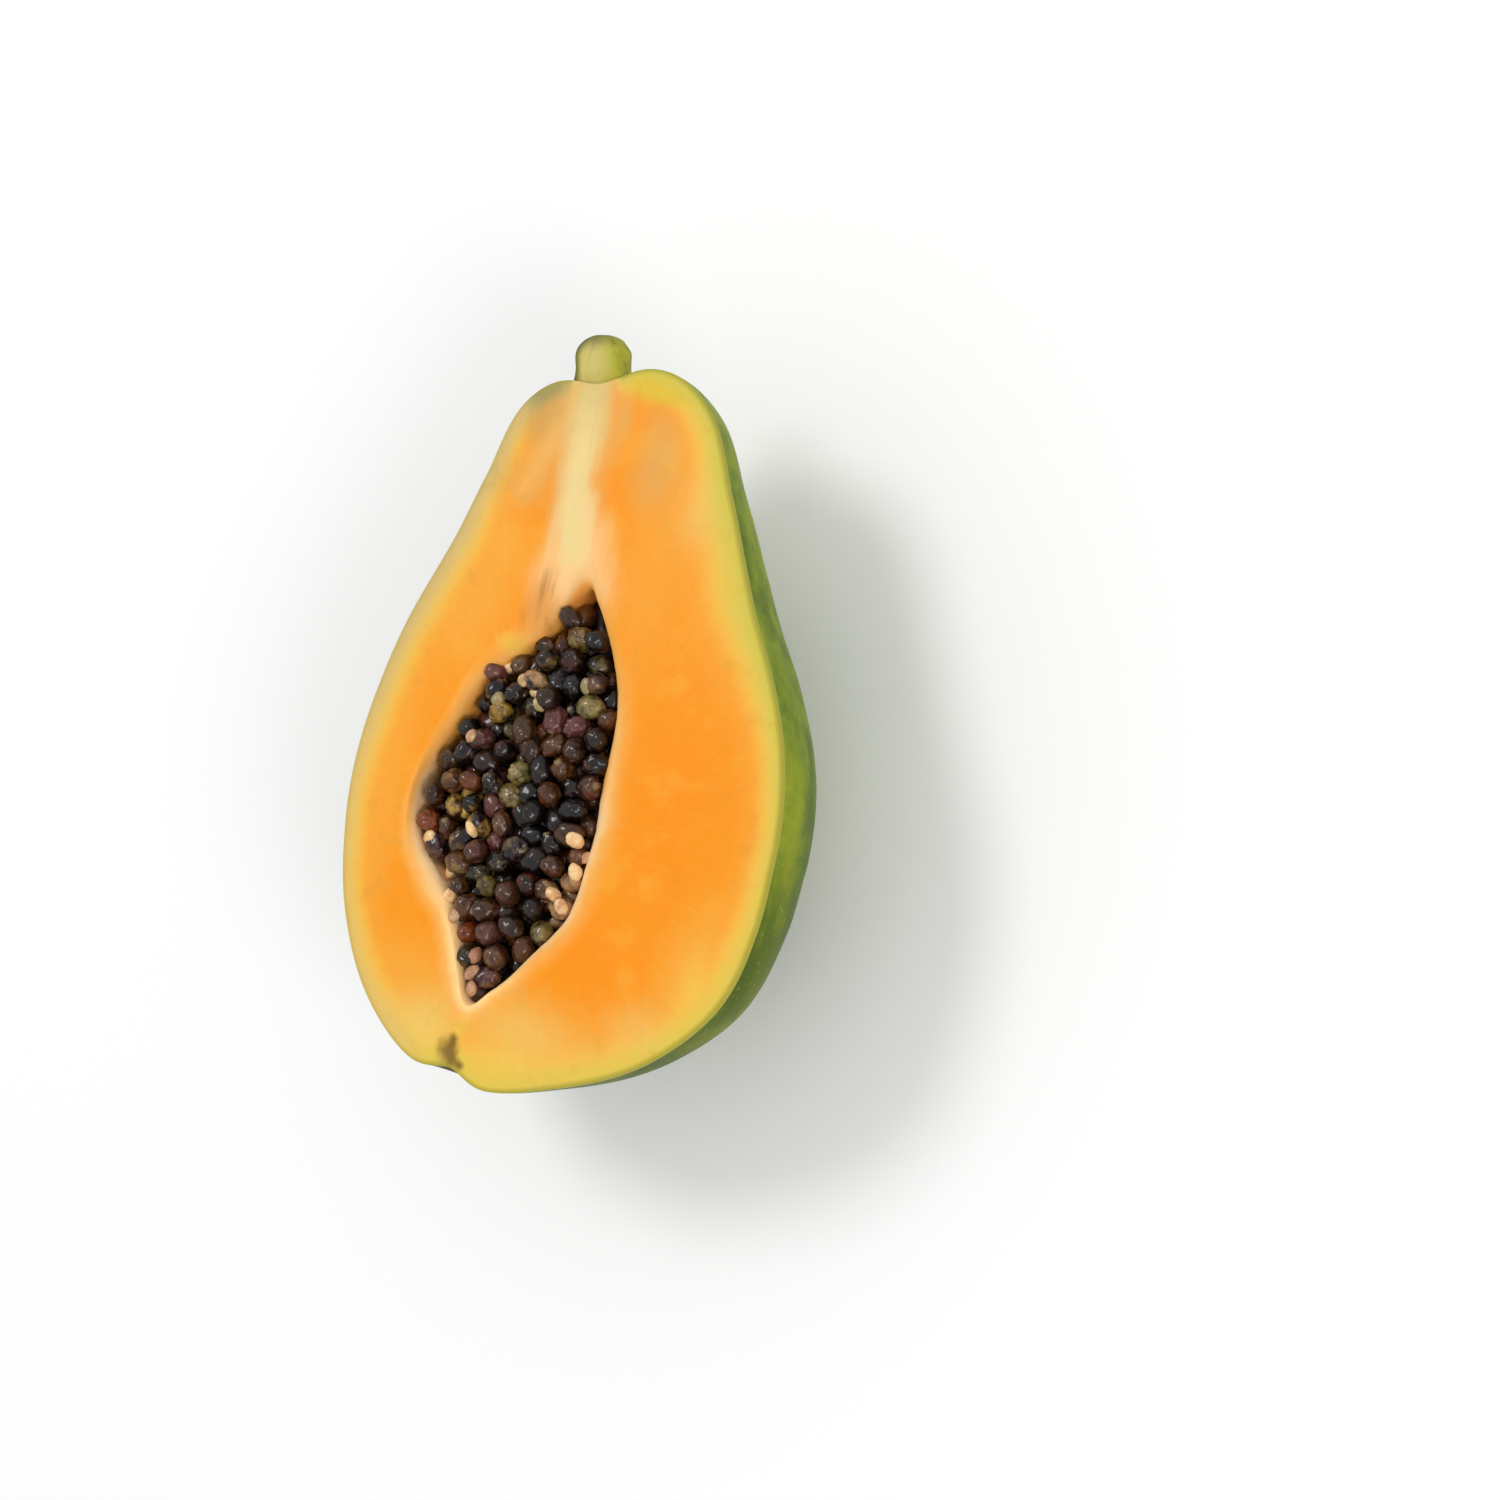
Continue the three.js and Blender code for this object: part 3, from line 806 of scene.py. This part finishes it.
def makeFlesh():
    around = fruit["around"]
    points = np.concatenate([[restingSpot], *fleshForm, [cavityBottom]])
    ringIndex = np.concatenate([[0], np.repeat(np.arange(len(fleshForm)), around), [len(fleshForm)]])
    ringOfFace = np.repeat(np.arange(len(fleshForm) - 1), around)
    capFaces = np.repeat([False, True], around)
    pulpFaces = np.concatenate([ringOfFace >= len(skinForm) - 1, capFaces])
    newPiece(
        "papayaFlesh", "flesh", points, ringFaces(len(fleshForm), around),
        [skinMaterial(), pulpMaterial()], fleshValues(points, ringIndex), pulpFaces,
    )


makeFlesh()
print("papaya half: flesh and skin made")

# the stalk stub

stalkLook = {
    "wood": paint(196, 182, 104),
    "woodShade": paint(178, 170, 66),
    "bark": paint(168, 164, 50),
    # the bark's darker mottling; laid on towards the left side it is painted shade
    "barkDark": paint(84, 88, 42),
    # the rounded end's darker colour, laid on more strongly on the left side as painted shade
    "end": paint(92, 96, 58),
}


def stalkMaterial():
    shader = Shader("papayaStalk")
    mix, value = shader.mix, shader.value
    fibre = shader.noise(shader.stretched((900, 90, 900), -stalkForm["lean"]), 1.0, 3.0, 0.6)
    mottle = shader.noise(shader.place(), 380.0, 3.0, 0.6)
    wander = (mottle - 0.5) * 0.5 + (fibre - 0.5) * 0.5
    across = value("across") + wander * 0.6
    wood = mix(stalkLook["wood"], stalkLook["woodShade"], across.rise(-0.1, 0.7))
    wood = mix(wood, stalkLook["woodShade"], fibre.rise(0.48, 0.7) * 0.35)
    patchy = (fibre * 0.6 + mottle * 0.5).rise(0.5, 0.7) * 0.5
    # the bark darkens in patches of its own and, towards the left side, as painted shade
    bark = mix(stalkLook["bark"], stalkLook["barkDark"], patchy.most(across.fall(-0.8, 0.3) * 0.8))
    color = mix(wood, bark, (value("barkGap") + wander * 1.5).fall(0.1, 2.0))
    # the end darkens, and more so on the left side: painted shade
    end = (value("endShare") + wander * 0.5).rise(0.3, 0.95) * (0.35 + across.fall(0.0, 0.8) * 0.5)
    color = mix(color, stalkLook["end"], end)
    return shader.finish({
        "Base Color": color,
        "Roughness": 0.62 + (mottle - 0.5) * 0.2,
        "Specular IOR Level": 0.2,
        "Normal": shader.bump(fibre * 0.6 + mottle * 0.4, 0.0003),
    })


def stalkSizes():
    # distance from the base and radius of each ring, from just inside the fruit to the rounded end
    form = stalkForm
    straight = form["length"] - form["endRounding"]
    starts = (cutEdge - np.array(form["base"])[:2]) @ stalkAlong[:2]
    near = np.abs((cutEdge - np.array(form["base"])[:2]) @ stalkAcross[:2]) < form["radius"]
    start = starts[near & (starts > 0)].min() - form["overlap"]
    sizes = []
    for share in np.linspace(0, 1, form["sections"]):
        distance = start + (straight - start) * share
        flare = form["flare"] * float(openCurve(form["flareShape"], distance / straight))
        sizes.append((distance, form["radius"] + flare))
    for turn in np.radians(form["endTurns"]):
        rounding = form["endRounding"] * (1 - math.cos(turn))
        sizes.append((straight + form["endRounding"] * math.sin(turn), form["radius"] - rounding))
    return sizes


def makeStalk():
    form = stalkForm
    base = np.array(form["base"], float)
    axisDepth = -base[2]
    rings, barkGap, across = [], [], []
    sizes = stalkSizes()
    for distance, radius in sizes:
        opening = math.acos(min(axisDepth / radius, 0.99))  # half the angle that the cut takes off
        backAngles = np.linspace(opening, 2 * math.pi - opening, form["backPoints"])
        cutAngles = np.linspace(-opening, opening, form["cutPoints"] + 2)[1:-1]
        angles = np.concatenate([backAngles, cutAngles])
        aside = radius * np.sin(angles)[:, None]
        height = np.minimum(radius * np.cos(angles), axisDepth)[:, None]
        rings.append(base + stalkAlong * distance + aside * stalkAcross + height * np.array([0, 0, 1]))
        fromBark = radius * math.sin(opening) - np.abs(aside[len(backAngles):, 0])
        barkGap.append(np.concatenate([np.zeros(len(backAngles)), fromBark]))
        across.append(aside[:, 0] / form["radius"])
    around = len(rings[0])
    first = base + stalkAlong * sizes[0][0]
    last = base + stalkAlong * form["length"]
    points = np.concatenate([[first], *rings, [last]])
    barkGap = np.concatenate([[0], *barkGap, [0]])
    across = np.concatenate([[0], *across, [0]])
    axis = base + np.outer((points - base) @ stalkAlong, stalkAlong)
    outwards = (points - axis) / np.maximum(lengths(points - axis), 0.1)[:, None]
    rough = noiseAt(points * np.array([1, 0.4, 1]), 1.7, 4) * form["wrinkle"]
    points += np.where(barkGap > 0, 0, rough)[:, None] * outwards
    # the cut runs level with the fruit's, and dips under it where the two meet
    turn, reach = turnAbout(fruit["centre"], points)
    within = closedCurve(fruit["outline"], turn) - reach
    dip = form["dip"] * np.clip(within - 0.25, 0, 3)
    points[:, 2] = np.minimum(points[:, 2], -form["sunk"] - dip)
    distance = (points - base) @ stalkAlong
    values = {
        "barkGap": barkGap,
        "across": across,
        "endShare": np.clip((distance / form["length"] - 0.7) / 0.3, 0, 1),
    }
    newPiece("papayaStalk", "stalk", points, ringFaces(len(rings), around), [stalkMaterial()], values)


makeStalk()
print("papaya half: stalk made")

# the seeds in their gel

seedForm = {
    "count": 250,
    "reach": 2.8,  # half the spacing that they settle to
    "semiAxes": (3.5, 2.85, 2.6),
    "smallest": 0.88,
    "largest": 1.1,
    "layer": 13,  # depth of the layer that they fill
    "topHeight": -2.4,  # of the highest middles at the wall
    "crown": 2.3,  # how much higher they stand over the cavity's centre
    "unevenness": 2.2,
    "span": 60,  # half the square that their places are drawn from
    "steps": 150,  # how often they are pushed apart, and how far each time
    "push": 0.45,
    "closeAbove": -5.2,  # seeds whose middle is lower get coarser meshes
    "closeDetail": 4,
    "lowDetail": 3,
    "kinds": 16,
    "lumps": 0.11,
    "folds": 0.24,
    "taper": 0.08,
    "tipLength": 0.1,
    "strays": [
        (-23.8, 10.2), (-17.8, 13.2), (-12.4, 18.2), (-6.4, 25.4),
        (-14.6, -55.6), (-12.6, -59.4), (-10.6, -63),
    ],
    "strayLift": 0.2,
    "lowestStray": -4.6,
}

seedLook = {
    "black": paint(14, 9, 8),
    "brown": paint(80, 46, 20),
    "plum": paint(104, 58, 56),
    "rust": paint(120, 54, 20),
    "gel": paint(140, 124, 66),
    "pale": paint(178, 136, 92),
    "yellow": paint(186, 148, 64),
    "tip": paint(150, 126, 84),
    "roughness": 0.34,
    # how ragged each colour's edge is, where it begins and is full, and its strength
    "darkLayers": {
        "brown": (0.6, 0.3, 0.9, 1),
        "plum": (1, 0.45, 1, 0.85),
        "rust": (0.8, 0.45, 1, 0.9),
    },
    "lightLayers": {
        "yellow": (1.5, 0.4, 0.9, 0.85),
        "pale": (1.5, 0.4, 0.9, 0.9),
    },
}

# where seeds of each colour lie, and how far round each place they reach
seedTints = {
    "reach": 4.5,
    "gel": [(3, 16), (-6.6, 18), (3, 7.5), (-12.5, -13.7), (-18, -36), (4, -46), (-17, -1.5)],
    "rust": [(-27.5, 1.3), (-31.5, -6), (-33, -22), (-33, -27), (7.9, 13), (-13.6, 20), (-18, -51)],
    "plum": [(-1, 2), (-24, -6), (-17, -17), (-11, -30), (-13, -53), (-22.5, 10)],
    "black": [(-4.7, 13.5), (-2.4, 7), (2.6, 25), (-4.8, -22), (2.6, -18), (-2, -33), (7.7, -5.6)],
    "pale": [(9.4, -31.8), (5.5, -38.6), (-11, 8.4)],
    "yellow": [(-25, -20.6), (-20, -27), (-20, 3)],
}


def turnedBy(angles):
    x, y, z = angles
    return np.array(Matrix.Rotation(z, 3, "Z") @ Matrix.Rotation(y, 3, "Y") @ Matrix.Rotation(x, 3, "X"))


def newSeed(draw, middle, largest):
    # a seed at this place, turned at random
    turned = turnedBy([math.radians(360 * draw.next()) for _ in range(3)])
    scale = draw.between(seedForm["smallest"], largest)
    return {"middle": np.array(middle), "turned": turned, "size": np.array(seedForm["semiAxes"]) * scale}


def settledSeeds():
    # drawn at random over the heap's core, then pushed apart until they fill the layer
    draw = Draw(7)
    reach, layer, span = seedForm["reach"], seedForm["layer"], seedForm["span"]
    deep = cavity["depth"] - reach

    def wallAt(x, y):
        turn = np.degrees(np.arctan2(y, x))
        return closedCurve(cavity["rim"], turn) - closedCurve(cavity["lip"], turn) - reach

    places, lows = [], []
    while len(places) < seedForm["count"]:
        x, y = 2 * span * draw.next() - span, 2 * span * draw.next() - span
        z = -reach - (layer - reach) * draw.next()
        low = seedForm["unevenness"] * draw.next()
        if math.hypot(x, y) <= float(wallAt(x, y)):
            places.append((x, y, z))
            lows.append(low)
    places, lows = np.array(places), np.array(lows)
    for _ in range(seedForm["steps"]):
        apart = places[None] - places[:, None]
        distance = np.maximum(lengths(apart), 1e-6)
        push = seedForm["push"] * np.maximum(2 * reach - distance, 0) / distance
        np.fill_diagonal(push, 0)
        moved = places - (push[..., None] * apart).sum(1)
        wall = wallAt(moved[:, 0], moved[:, 1])
        out = np.hypot(moved[:, 0], moved[:, 1])
        room = wall * np.sqrt(np.maximum(1 - (places[:, 2] / deep) ** 2, 0))
        pull = np.where(out > room, room / np.maximum(out, 1e-6), 1)
        share = np.minimum(out / wall, 1)
        top = seedForm["topHeight"] + seedForm["crown"] * (1 - share * share) - lows
        moved[:, :2] *= pull[:, None]
        moved[:, 2] = np.maximum(np.minimum(moved[:, 2], top), -layer)
        places = moved
    middles = places + np.array([*cavity["centre"], 0])
    return [newSeed(draw, middle, seedForm["largest"]) for middle in middles]


def seedShapes(detail):
    # lumpy ovals of unit size with a small tip, each different and some wrinkled
    shapes = []
    for kind in range(seedForm["kinds"]):
        ball = bmesh.new()
        bmesh.ops.create_icosphere(ball, subdivisions=detail, radius=1)
        points = np.array([vertex.co for vertex in ball.verts])
        faces = [[vertex.index for vertex in face.verts] for face in ball.faces]
        ball.free()
        wrinkled = 0.35 + 0.65 * (kind % 2)
        fold = np.abs(noiseAt(points, 0.5, 11 + kind * 5))
        lump = noiseAt(points, 1.1, 40 + kind * 3) + 0.5 * noiseAt(points, 0.5, 70 + kind)
        tip = ease(points[:, 0], 0.9, 1.0) * (kind % 4 == 1)
        radius = 1 + seedForm["lumps"] * lump + seedForm["folds"] * wrinkled * (fold - 0.25)
        radius += seedForm["tipLength"] * tip
        radius *= 1 - seedForm["taper"] * points[:, 0]
        shapes.append((points * radius[:, None], faces, tip, fold))
    return shapes


def seedMaterial():
    shader = Shader("papayaSeedGel")
    mix, value = shader.mix, shader.value
    mottle = shader.noise(shader.place(), 620.0, 3.0, 0.6)
    film = shader.noise(shader.place(), 260.0, 2.0, 0.5)
    pits = shader.noise(shader.place(), 1600.0, 2.0, 0.5)
    wander = (film - 0.5) * 0.9 + (mottle - 0.5) * 0.4
    color = shader.laid(seedLook["black"], seedLook, "darkLayers", wander)
    gel = (value("gel") + wander * 1.2).rise(0.5, 1.05)
    color = mix(color, seedLook["gel"], gel * 0.85)
    # painted shade: the seeds go black in the grooves of their folds
    color = mix(color, seedLook["black"], value("fold").fall(0.03, 0.16) * 0.6)
    color = shader.laid(color, seedLook, "lightLayers", wander)
    color = mix(color, seedLook["tip"], value("tip") * 0.6)
    return shader.finish({
        "Base Color": color,
        "Roughness": seedLook["roughness"] + (mottle - 0.5) * 0.25,
        "Specular IOR Level": 0.15,
        "Coat Weight": 0.6 + gel * 0.3,
        "Coat Roughness": 0.06,
        "Normal": shader.bump(mottle * 0.5 + pits * 0.5, 0.00018),
    })


def seedTones(seed, draw):
    # how much of each colour one seed has
    def near(tint):
        away = lengths(np.array(seedTints[tint]) - seed["middle"][:2]).min()
        return math.exp(-((away / seedTints["reach"]) ** 2))

    dark = near("black")
    return {
        "brown": draw.next() * (1 - 0.8 * dark),
        "gel": (0.62 * draw.next() + 0.5 * near("gel")) * (1 - 0.7 * dark),
        "rust": 0.6 * draw.next() + 0.6 * near("rust"),
        "plum": (0.7 * draw.next() + 0.5 * near("plum")) * (1 - 0.5 * dark),
        "pale": 0.8 * near("pale"),
        "yellow": 0.7 * near("yellow"),
    }


def newSeedPiece(name, material, parts):
    # one piece of many seeds: each with the points and faces of its shape and its values by name
    points, faces, values, start = [], [], {}, 0
    for seed, shape, shapeFaces, shares in parts:
        points.append((shape * seed["size"]) @ seed["turned"].T + seed["middle"])
        faces += [[start + index for index in face] for face in shapeFaces]
        start += len(shape)
        for label, share in shares.items():
            values.setdefault(label, []).append(np.broadcast_to(share, len(shape)))
    values = {label: np.concatenate(numbers) for label, numbers in values.items()}
    newPiece(name, "seeds", np.concatenate(points), faces, [material], values)


def makeSeeds(name, seeds, detail, material):
    shapes = seedShapes(detail)
    draw = Draw(31)
    parts = []
    for seed in seeds:
        shape, faces, tip, fold = shapes[int(draw.next() * len(shapes))]
        parts.append((seed, shape, faces, {**seedTones(seed, draw), "tip": tip, "fold": fold}))
    newSeedPiece(name, material, parts)


heap = {
    "top": -8,
    "inset": 1.0,  # from the cavity's wall
    "around": 160,
    "falls": (78, 66, 54, 42, 30, 20, 12),  # rings up its side, in degrees from the top
    "shares": (0.94, 0.84, 0.72, 0.6, 0.48, 0.36, 0.24, 0.12),  # rings across its top
    "lumps": 1.6,
    "dark": paint(22, 14, 12),
    "brown": paint(74, 44, 24),
}


def heapMaterial():
    shader = Shader("papayaHeapGel")
    mottle = shader.noise(shader.place(), 300.0, 3.0, 0.6)
    return shader.finish({
        "Base Color": shader.mix(heap["dark"], heap["brown"], mottle.rise(0.48, 0.75)),
        "Roughness": 0.5 + (mottle - 0.5) * 0.3,
        "Specular IOR Level": 0.3,
        "Coat Weight": 0.1,
        "Coat Roughness": 0.2,
        "Normal": shader.bump(mottle, 0.0008),
    })


def makeHeap():
    # the dark heap under the seeds
    turns = np.arange(heap["around"]) * 360 / heap["around"]
    rings = [wallRing(turns, fall, heap["inset"]) for fall in heap["falls"]]
    edge = rings[-1]
    top = np.array([*cavity["centre"], heap["top"]])
    for share in heap["shares"]:
        ring = top + (edge - top) * share
        ring[:, 2] = heap["top"] + heap["lumps"] * noiseAt(ring * np.array([1, 1, 0]), 3.2, 6)
        rings.append(ring)
    bottom = np.array([*cavity["centre"], heap["inset"] - cavity["depth"]])
    points = np.concatenate([[bottom], *rings, [top]])
    newPiece("papayaHeap", "seeds", points, ringFaces(len(rings), heap["around"]), [heapMaterial()], {})


def seedTop(seed, places):
    # how high one seed stands at each place, taken as a plain oval
    form = seed["turned"] @ np.diag(1 / seed["size"] ** 2) @ seed["turned"].T
    x, y = (places - seed["middle"][:2]).T
    slope = form[0, 2] * x + form[1, 2] * y
    rest = form[0, 0] * x**2 + 2 * form[0, 1] * x * y + form[1, 1] * y**2 - 1
    inside = slope**2 - form[2, 2] * rest
    height = seed["middle"][2] + (np.sqrt(np.maximum(inside, 0)) - slope) / form[2, 2]
    return np.where(inside > 0, height, heap["top"])


def groundUnder(places):
    # how high the seeds, the lip and the wall stand at each place
    turns, reach = turnAbout(cavity["centre"], places)
    inwards = closedCurve(cavity["rim"], turns) - reach
    lip = closedCurve(cavity["lip"], turns)
    full = math.radians(cavity["lipTurn"])
    wall = lipHeight(np.arcsin(np.clip(inwards / lip, 0, 1) * math.sin(full)) / full)
    wall -= 3 * np.maximum(inwards - lip, 0)
    return np.max([wall, *[seedTop(seed, places) for seed in seeds]], axis=0)


def straySeeds():
    # seeds that lie up on the lip, or against the wall near the cavity's tip
    draw = Draw(17)
    strays = []
    for place in seedForm["strays"]:
        height = max(groundUnder(np.array([place]))[0] + seedForm["strayLift"], seedForm["lowestStray"])
        strays.append(newSeed(draw, [*place, height], 1))
    return strays


seeds = settledSeeds()
seeds += straySeeds()
seedGel = seedMaterial()
closeSeeds = [seed for seed in seeds if seed["middle"][2] > seedForm["closeAbove"]]
lowSeeds = [seed for seed in seeds if seed["middle"][2] <= seedForm["closeAbove"]]
makeHeap()
makeSeeds("papayaSeeds", closeSeeds, seedForm["closeDetail"], seedGel)
makeSeeds("papayaSeedsBelow", lowSeeds, seedForm["lowDetail"], seedGel)
print("papaya half: seeds made,", len(closeSeeds), "close and", len(lowSeeds), "below")

# small pale seeds that never filled out, between the others

paleSeeds = {
    # place, half length and half width of each, its direction in degrees, how yellow, olive and pink it is
    "lying": [
        ((8.4, -24.2), 2.3, 1.8, -20, 0.0, 0.0, 0.0), ((10.6, -27.4), 1.7, 1.3, 40, 0.2, 0.0, 0.6),
        ((9.4, -31.4), 2.1, 1.6, -60, 0.1, 0.0, 0.2), ((4.8, -37.2), 2.2, 1.5, 150, 0.0, 0.0, 0.2),
        ((8.0, -39.4), 2.0, 1.5, 130, 0.1, 0.0, 0.5), ((-31.8, -30.4), 2.0, 1.6, 30, 0.0, 0.0, 0.2),
        ((-26.4, -36.8), 2.2, 1.7, 60, 0.0, 0.0, 0.1), ((-22.0, -42.4), 2.2, 1.7, 50, 0.0, 0.0, 0.3),
        ((-19.4, -46.8), 1.9, 1.4, 70, 0.2, 0.0, 0.7), ((-12.2, -54.6), 2.1, 1.6, 80, 0.0, 0.0, 1.0),
        ((-11.8, -58.6), 2.1, 1.6, 70, 0.0, 0.0, 0.8), ((-10.8, -62.2), 1.8, 1.4, 90, 0.1, 0.0, 0.6),
        ((-25.8, -18.6), 2.4, 1.7, 85, 0.9, 0.1, 0.0), ((-24.2, -22.8), 2.0, 1.5, 60, 1.0, 0.2, 0.0),
        ((-19.4, -26.4), 2.2, 1.5, 110, 0.4, 0.1, 0.1), ((-14.8, 9.6), 2.0, 1.5, 150, 0.0, 0.5, 0.3),
        ((-11.2, 7.2), 2.3, 1.6, 145, 0.1, 0.4, 0.0), ((-8.2, 4.6), 1.8, 1.4, 130, 0.0, 0.7, 0.0),
        ((-20.6, 4.2), 2.1, 1.6, 100, 0.3, 0.8, 0.0), ((-24.0, -5.4), 1.7, 1.3, 60, 0.0, 0.5, 0.6),
        ((2.6, 11.0), 2.0, 1.5, 90, 0.0, 1.0, 0.0), ((-20.8, 12.0), 1.9, 1.5, 30, 0.4, 0.0, 0.5),
    ],
    "sunk": 0.4,
    "flatness": 0.85,
    "steepest": 0.6,
    "cream": paint(238, 202, 148),
    "peach": paint(206, 150, 92),
    "yellow": paint(204, 166, 70),
    "olive": paint(124, 116, 74),
    "pink": paint(160, 106, 80),
    "layers": {
        "yellow": (1, 0.2, 0.9, 0.85),
        "olive": (1, 0.2, 0.9, 0.9),
        "pink": (1, 0.2, 0.9, 0.9),
    },
}


def paleSeedMaterial():
    shader = Shader("papayaPaleSeed")
    mottle = shader.noise(shader.place(), 620.0, 3.0, 0.6)
    cloud = shader.noise(shader.place(), 300.0, 2.0, 0.5)
    wander = (mottle - 0.5) * 0.6 + (cloud - 0.5) * 0.8
    color = shader.mix(paleSeeds["cream"], paleSeeds["peach"], (wander + 0.5).rise(0.35, 0.75) * 0.9)
    return shader.finish({
        "Base Color": shader.laid(color, paleSeeds, "layers", wander),
        "Roughness": 0.4 + (mottle - 0.5) * 0.2,
        "Specular IOR Level": 0.3,
        "Coat Weight": 0.4,
        "Coat Roughness": 0.1,
        "Normal": shader.bump(mottle, 0.0002),
    })


def laidSeed(place, halfLength, halfWidth, direction):
    # a pale seed laid on the seeds below it and tilted with them
    turn = math.radians(direction)
    along = halfLength * np.array([math.cos(turn), math.sin(turn)])
    across = halfWidth * np.array([-math.sin(turn), math.cos(turn)])
    middle = np.array(place)
    spots = np.array([middle - along, middle + along, middle - across, middle + across, middle])
    heights = groundUnder(spots)
    steepest = paleSeeds["steepest"]
    tilt = np.clip((heights[1] - heights[0]) / (2 * halfLength), -steepest, steepest)
    roll = np.clip((heights[3] - heights[2]) / (2 * halfWidth), -steepest, steepest)
    size = np.array([halfLength, halfWidth, halfWidth * paleSeeds["flatness"]])
    height = (heights[4] + heights.mean()) / 2 + (1 - 2 * paleSeeds["sunk"]) * size[2]
    turned = turnedBy((math.atan(roll), -math.atan(tilt), turn))
    return {"middle": np.array([*middle, height]), "turned": turned, "size": size}


def makePaleSeeds():
    smooth = seedShapes(seedForm["closeDetail"])[::2]
    parts = []
    for number, (*lying, yellow, olive, pink) in enumerate(paleSeeds["lying"]):
        shape, faces = smooth[number % len(smooth)][:2]
        tones = {"yellow": yellow, "olive": olive, "pink": pink}
        parts.append((laidSeed(*lying), shape, faces, tones))
    newSeedPiece("papayaPaleSeeds", paleSeedMaterial(), parts)


makePaleSeeds()
print("papaya half: pale seeds made")

# floor, light and camera

studio = {
    "floorSize": 8,
    "floorColor": (0.9, 0.9, 0.9, 1),
    "floorRoughness": 0.7,
    "worldStrength": 0.74,
    "lamps": [  # place in metres, size, power
        ((-0.5, 0.35, 1.2), 0.45, 5.4),
        ((0.9, -0.35, 0.75), 0.5, 3.4),
    ],
}


def makeFloor():
    half = studio["floorSize"] / 2
    mesh = bpy.data.meshes.new("studioFloor")
    corners = [(-half, -half, 0), (half, -half, 0), (half, half, 0), (-half, half, 0)]
    mesh.from_pydata(corners, [], [(0, 1, 2, 3)])
    look = {"Base Color": studio["floorColor"], "Roughness": studio["floorRoughness"]}
    mesh.materials.append(Shader("studioFloor").finish(look))
    newObject("studioFloor", mesh)


def makeLights():
    world = bpy.data.worlds.new("studioWorld")
    world.use_nodes = True
    background = world.node_tree.nodes["Background"]
    background.inputs["Color"].default_value = (1, 1, 1, 1)
    background.inputs["Strength"].default_value = studio["worldStrength"]
    bpy.context.scene.world = world
    for number, (place, size, power) in enumerate(studio["lamps"], 1):
        light = bpy.data.lights.new(f"studioLamp{number}", "AREA")
        light.shape = "DISK"
        light.size = size
        light.energy = power
        lamp = newObject(f"studioLamp{number}", light)
        lamp.location = place
        lamp.rotation_euler = (-Vector(place)).to_track_quat("-Z", "Y").to_euler()


view = {
    "tilt": 33,  # between the line of sight and straight down onto the cut face
    "swing": -3.3,  # of the line of sight, from +X
    "roll": -15,
    "distance": 900,  # in millimetres, to the datum
    "pixelsPerMillimetre": 4.37,
    "imageSize": 1500,
    "datumPixel": (565, 730),  # where the datum appears
    "sensor": 36,
}


def makeCamera():
    tilt, swing, roll = [math.radians(view[name]) for name in ("tilt", "swing", "roll")]
    towards = Vector((math.sin(tilt) * math.cos(swing), math.sin(tilt) * math.sin(swing), math.cos(tilt)))
    first = Vector((math.cos(tilt) * math.cos(swing), math.cos(tilt) * math.sin(swing), -math.sin(tilt)))
    second = Vector((-math.sin(swing), math.cos(swing), 0))
    right = first * math.cos(roll) - second * math.sin(roll)
    up = first * math.sin(roll) + second * math.cos(roll)
    focal = view["pixelsPerMillimetre"] * view["distance"]
    turned = Matrix((right, up, towards)).transposed()
    middle = view["imageSize"] / 2
    pixelX, pixelY = view["datumPixel"]
    sight = turned @ Vector(((pixelX - middle) / focal, (middle - pixelY) / focal, -1)).normalized()
    turned = sight.rotation_difference(-towards).to_matrix() @ turned
    data = bpy.data.cameras.new("studioCamera")
    data.sensor_width = view["sensor"]
    data.sensor_height = view["sensor"]
    data.sensor_fit = "HORIZONTAL"
    data.lens = focal * view["sensor"] / view["imageSize"]
    camera = newObject("studioCamera", data)
    camera.matrix_world = Matrix.Translation(datum + towards * view["distance"] / 1000) @ turned.to_4x4()
    bpy.context.scene.camera = camera


makeFloor()
makeLights()
makeCamera()
bpy.context.scene.view_settings.view_transform = "Standard"
bpy.context.scene.view_settings.look = "None"
print("papaya half: studio made")
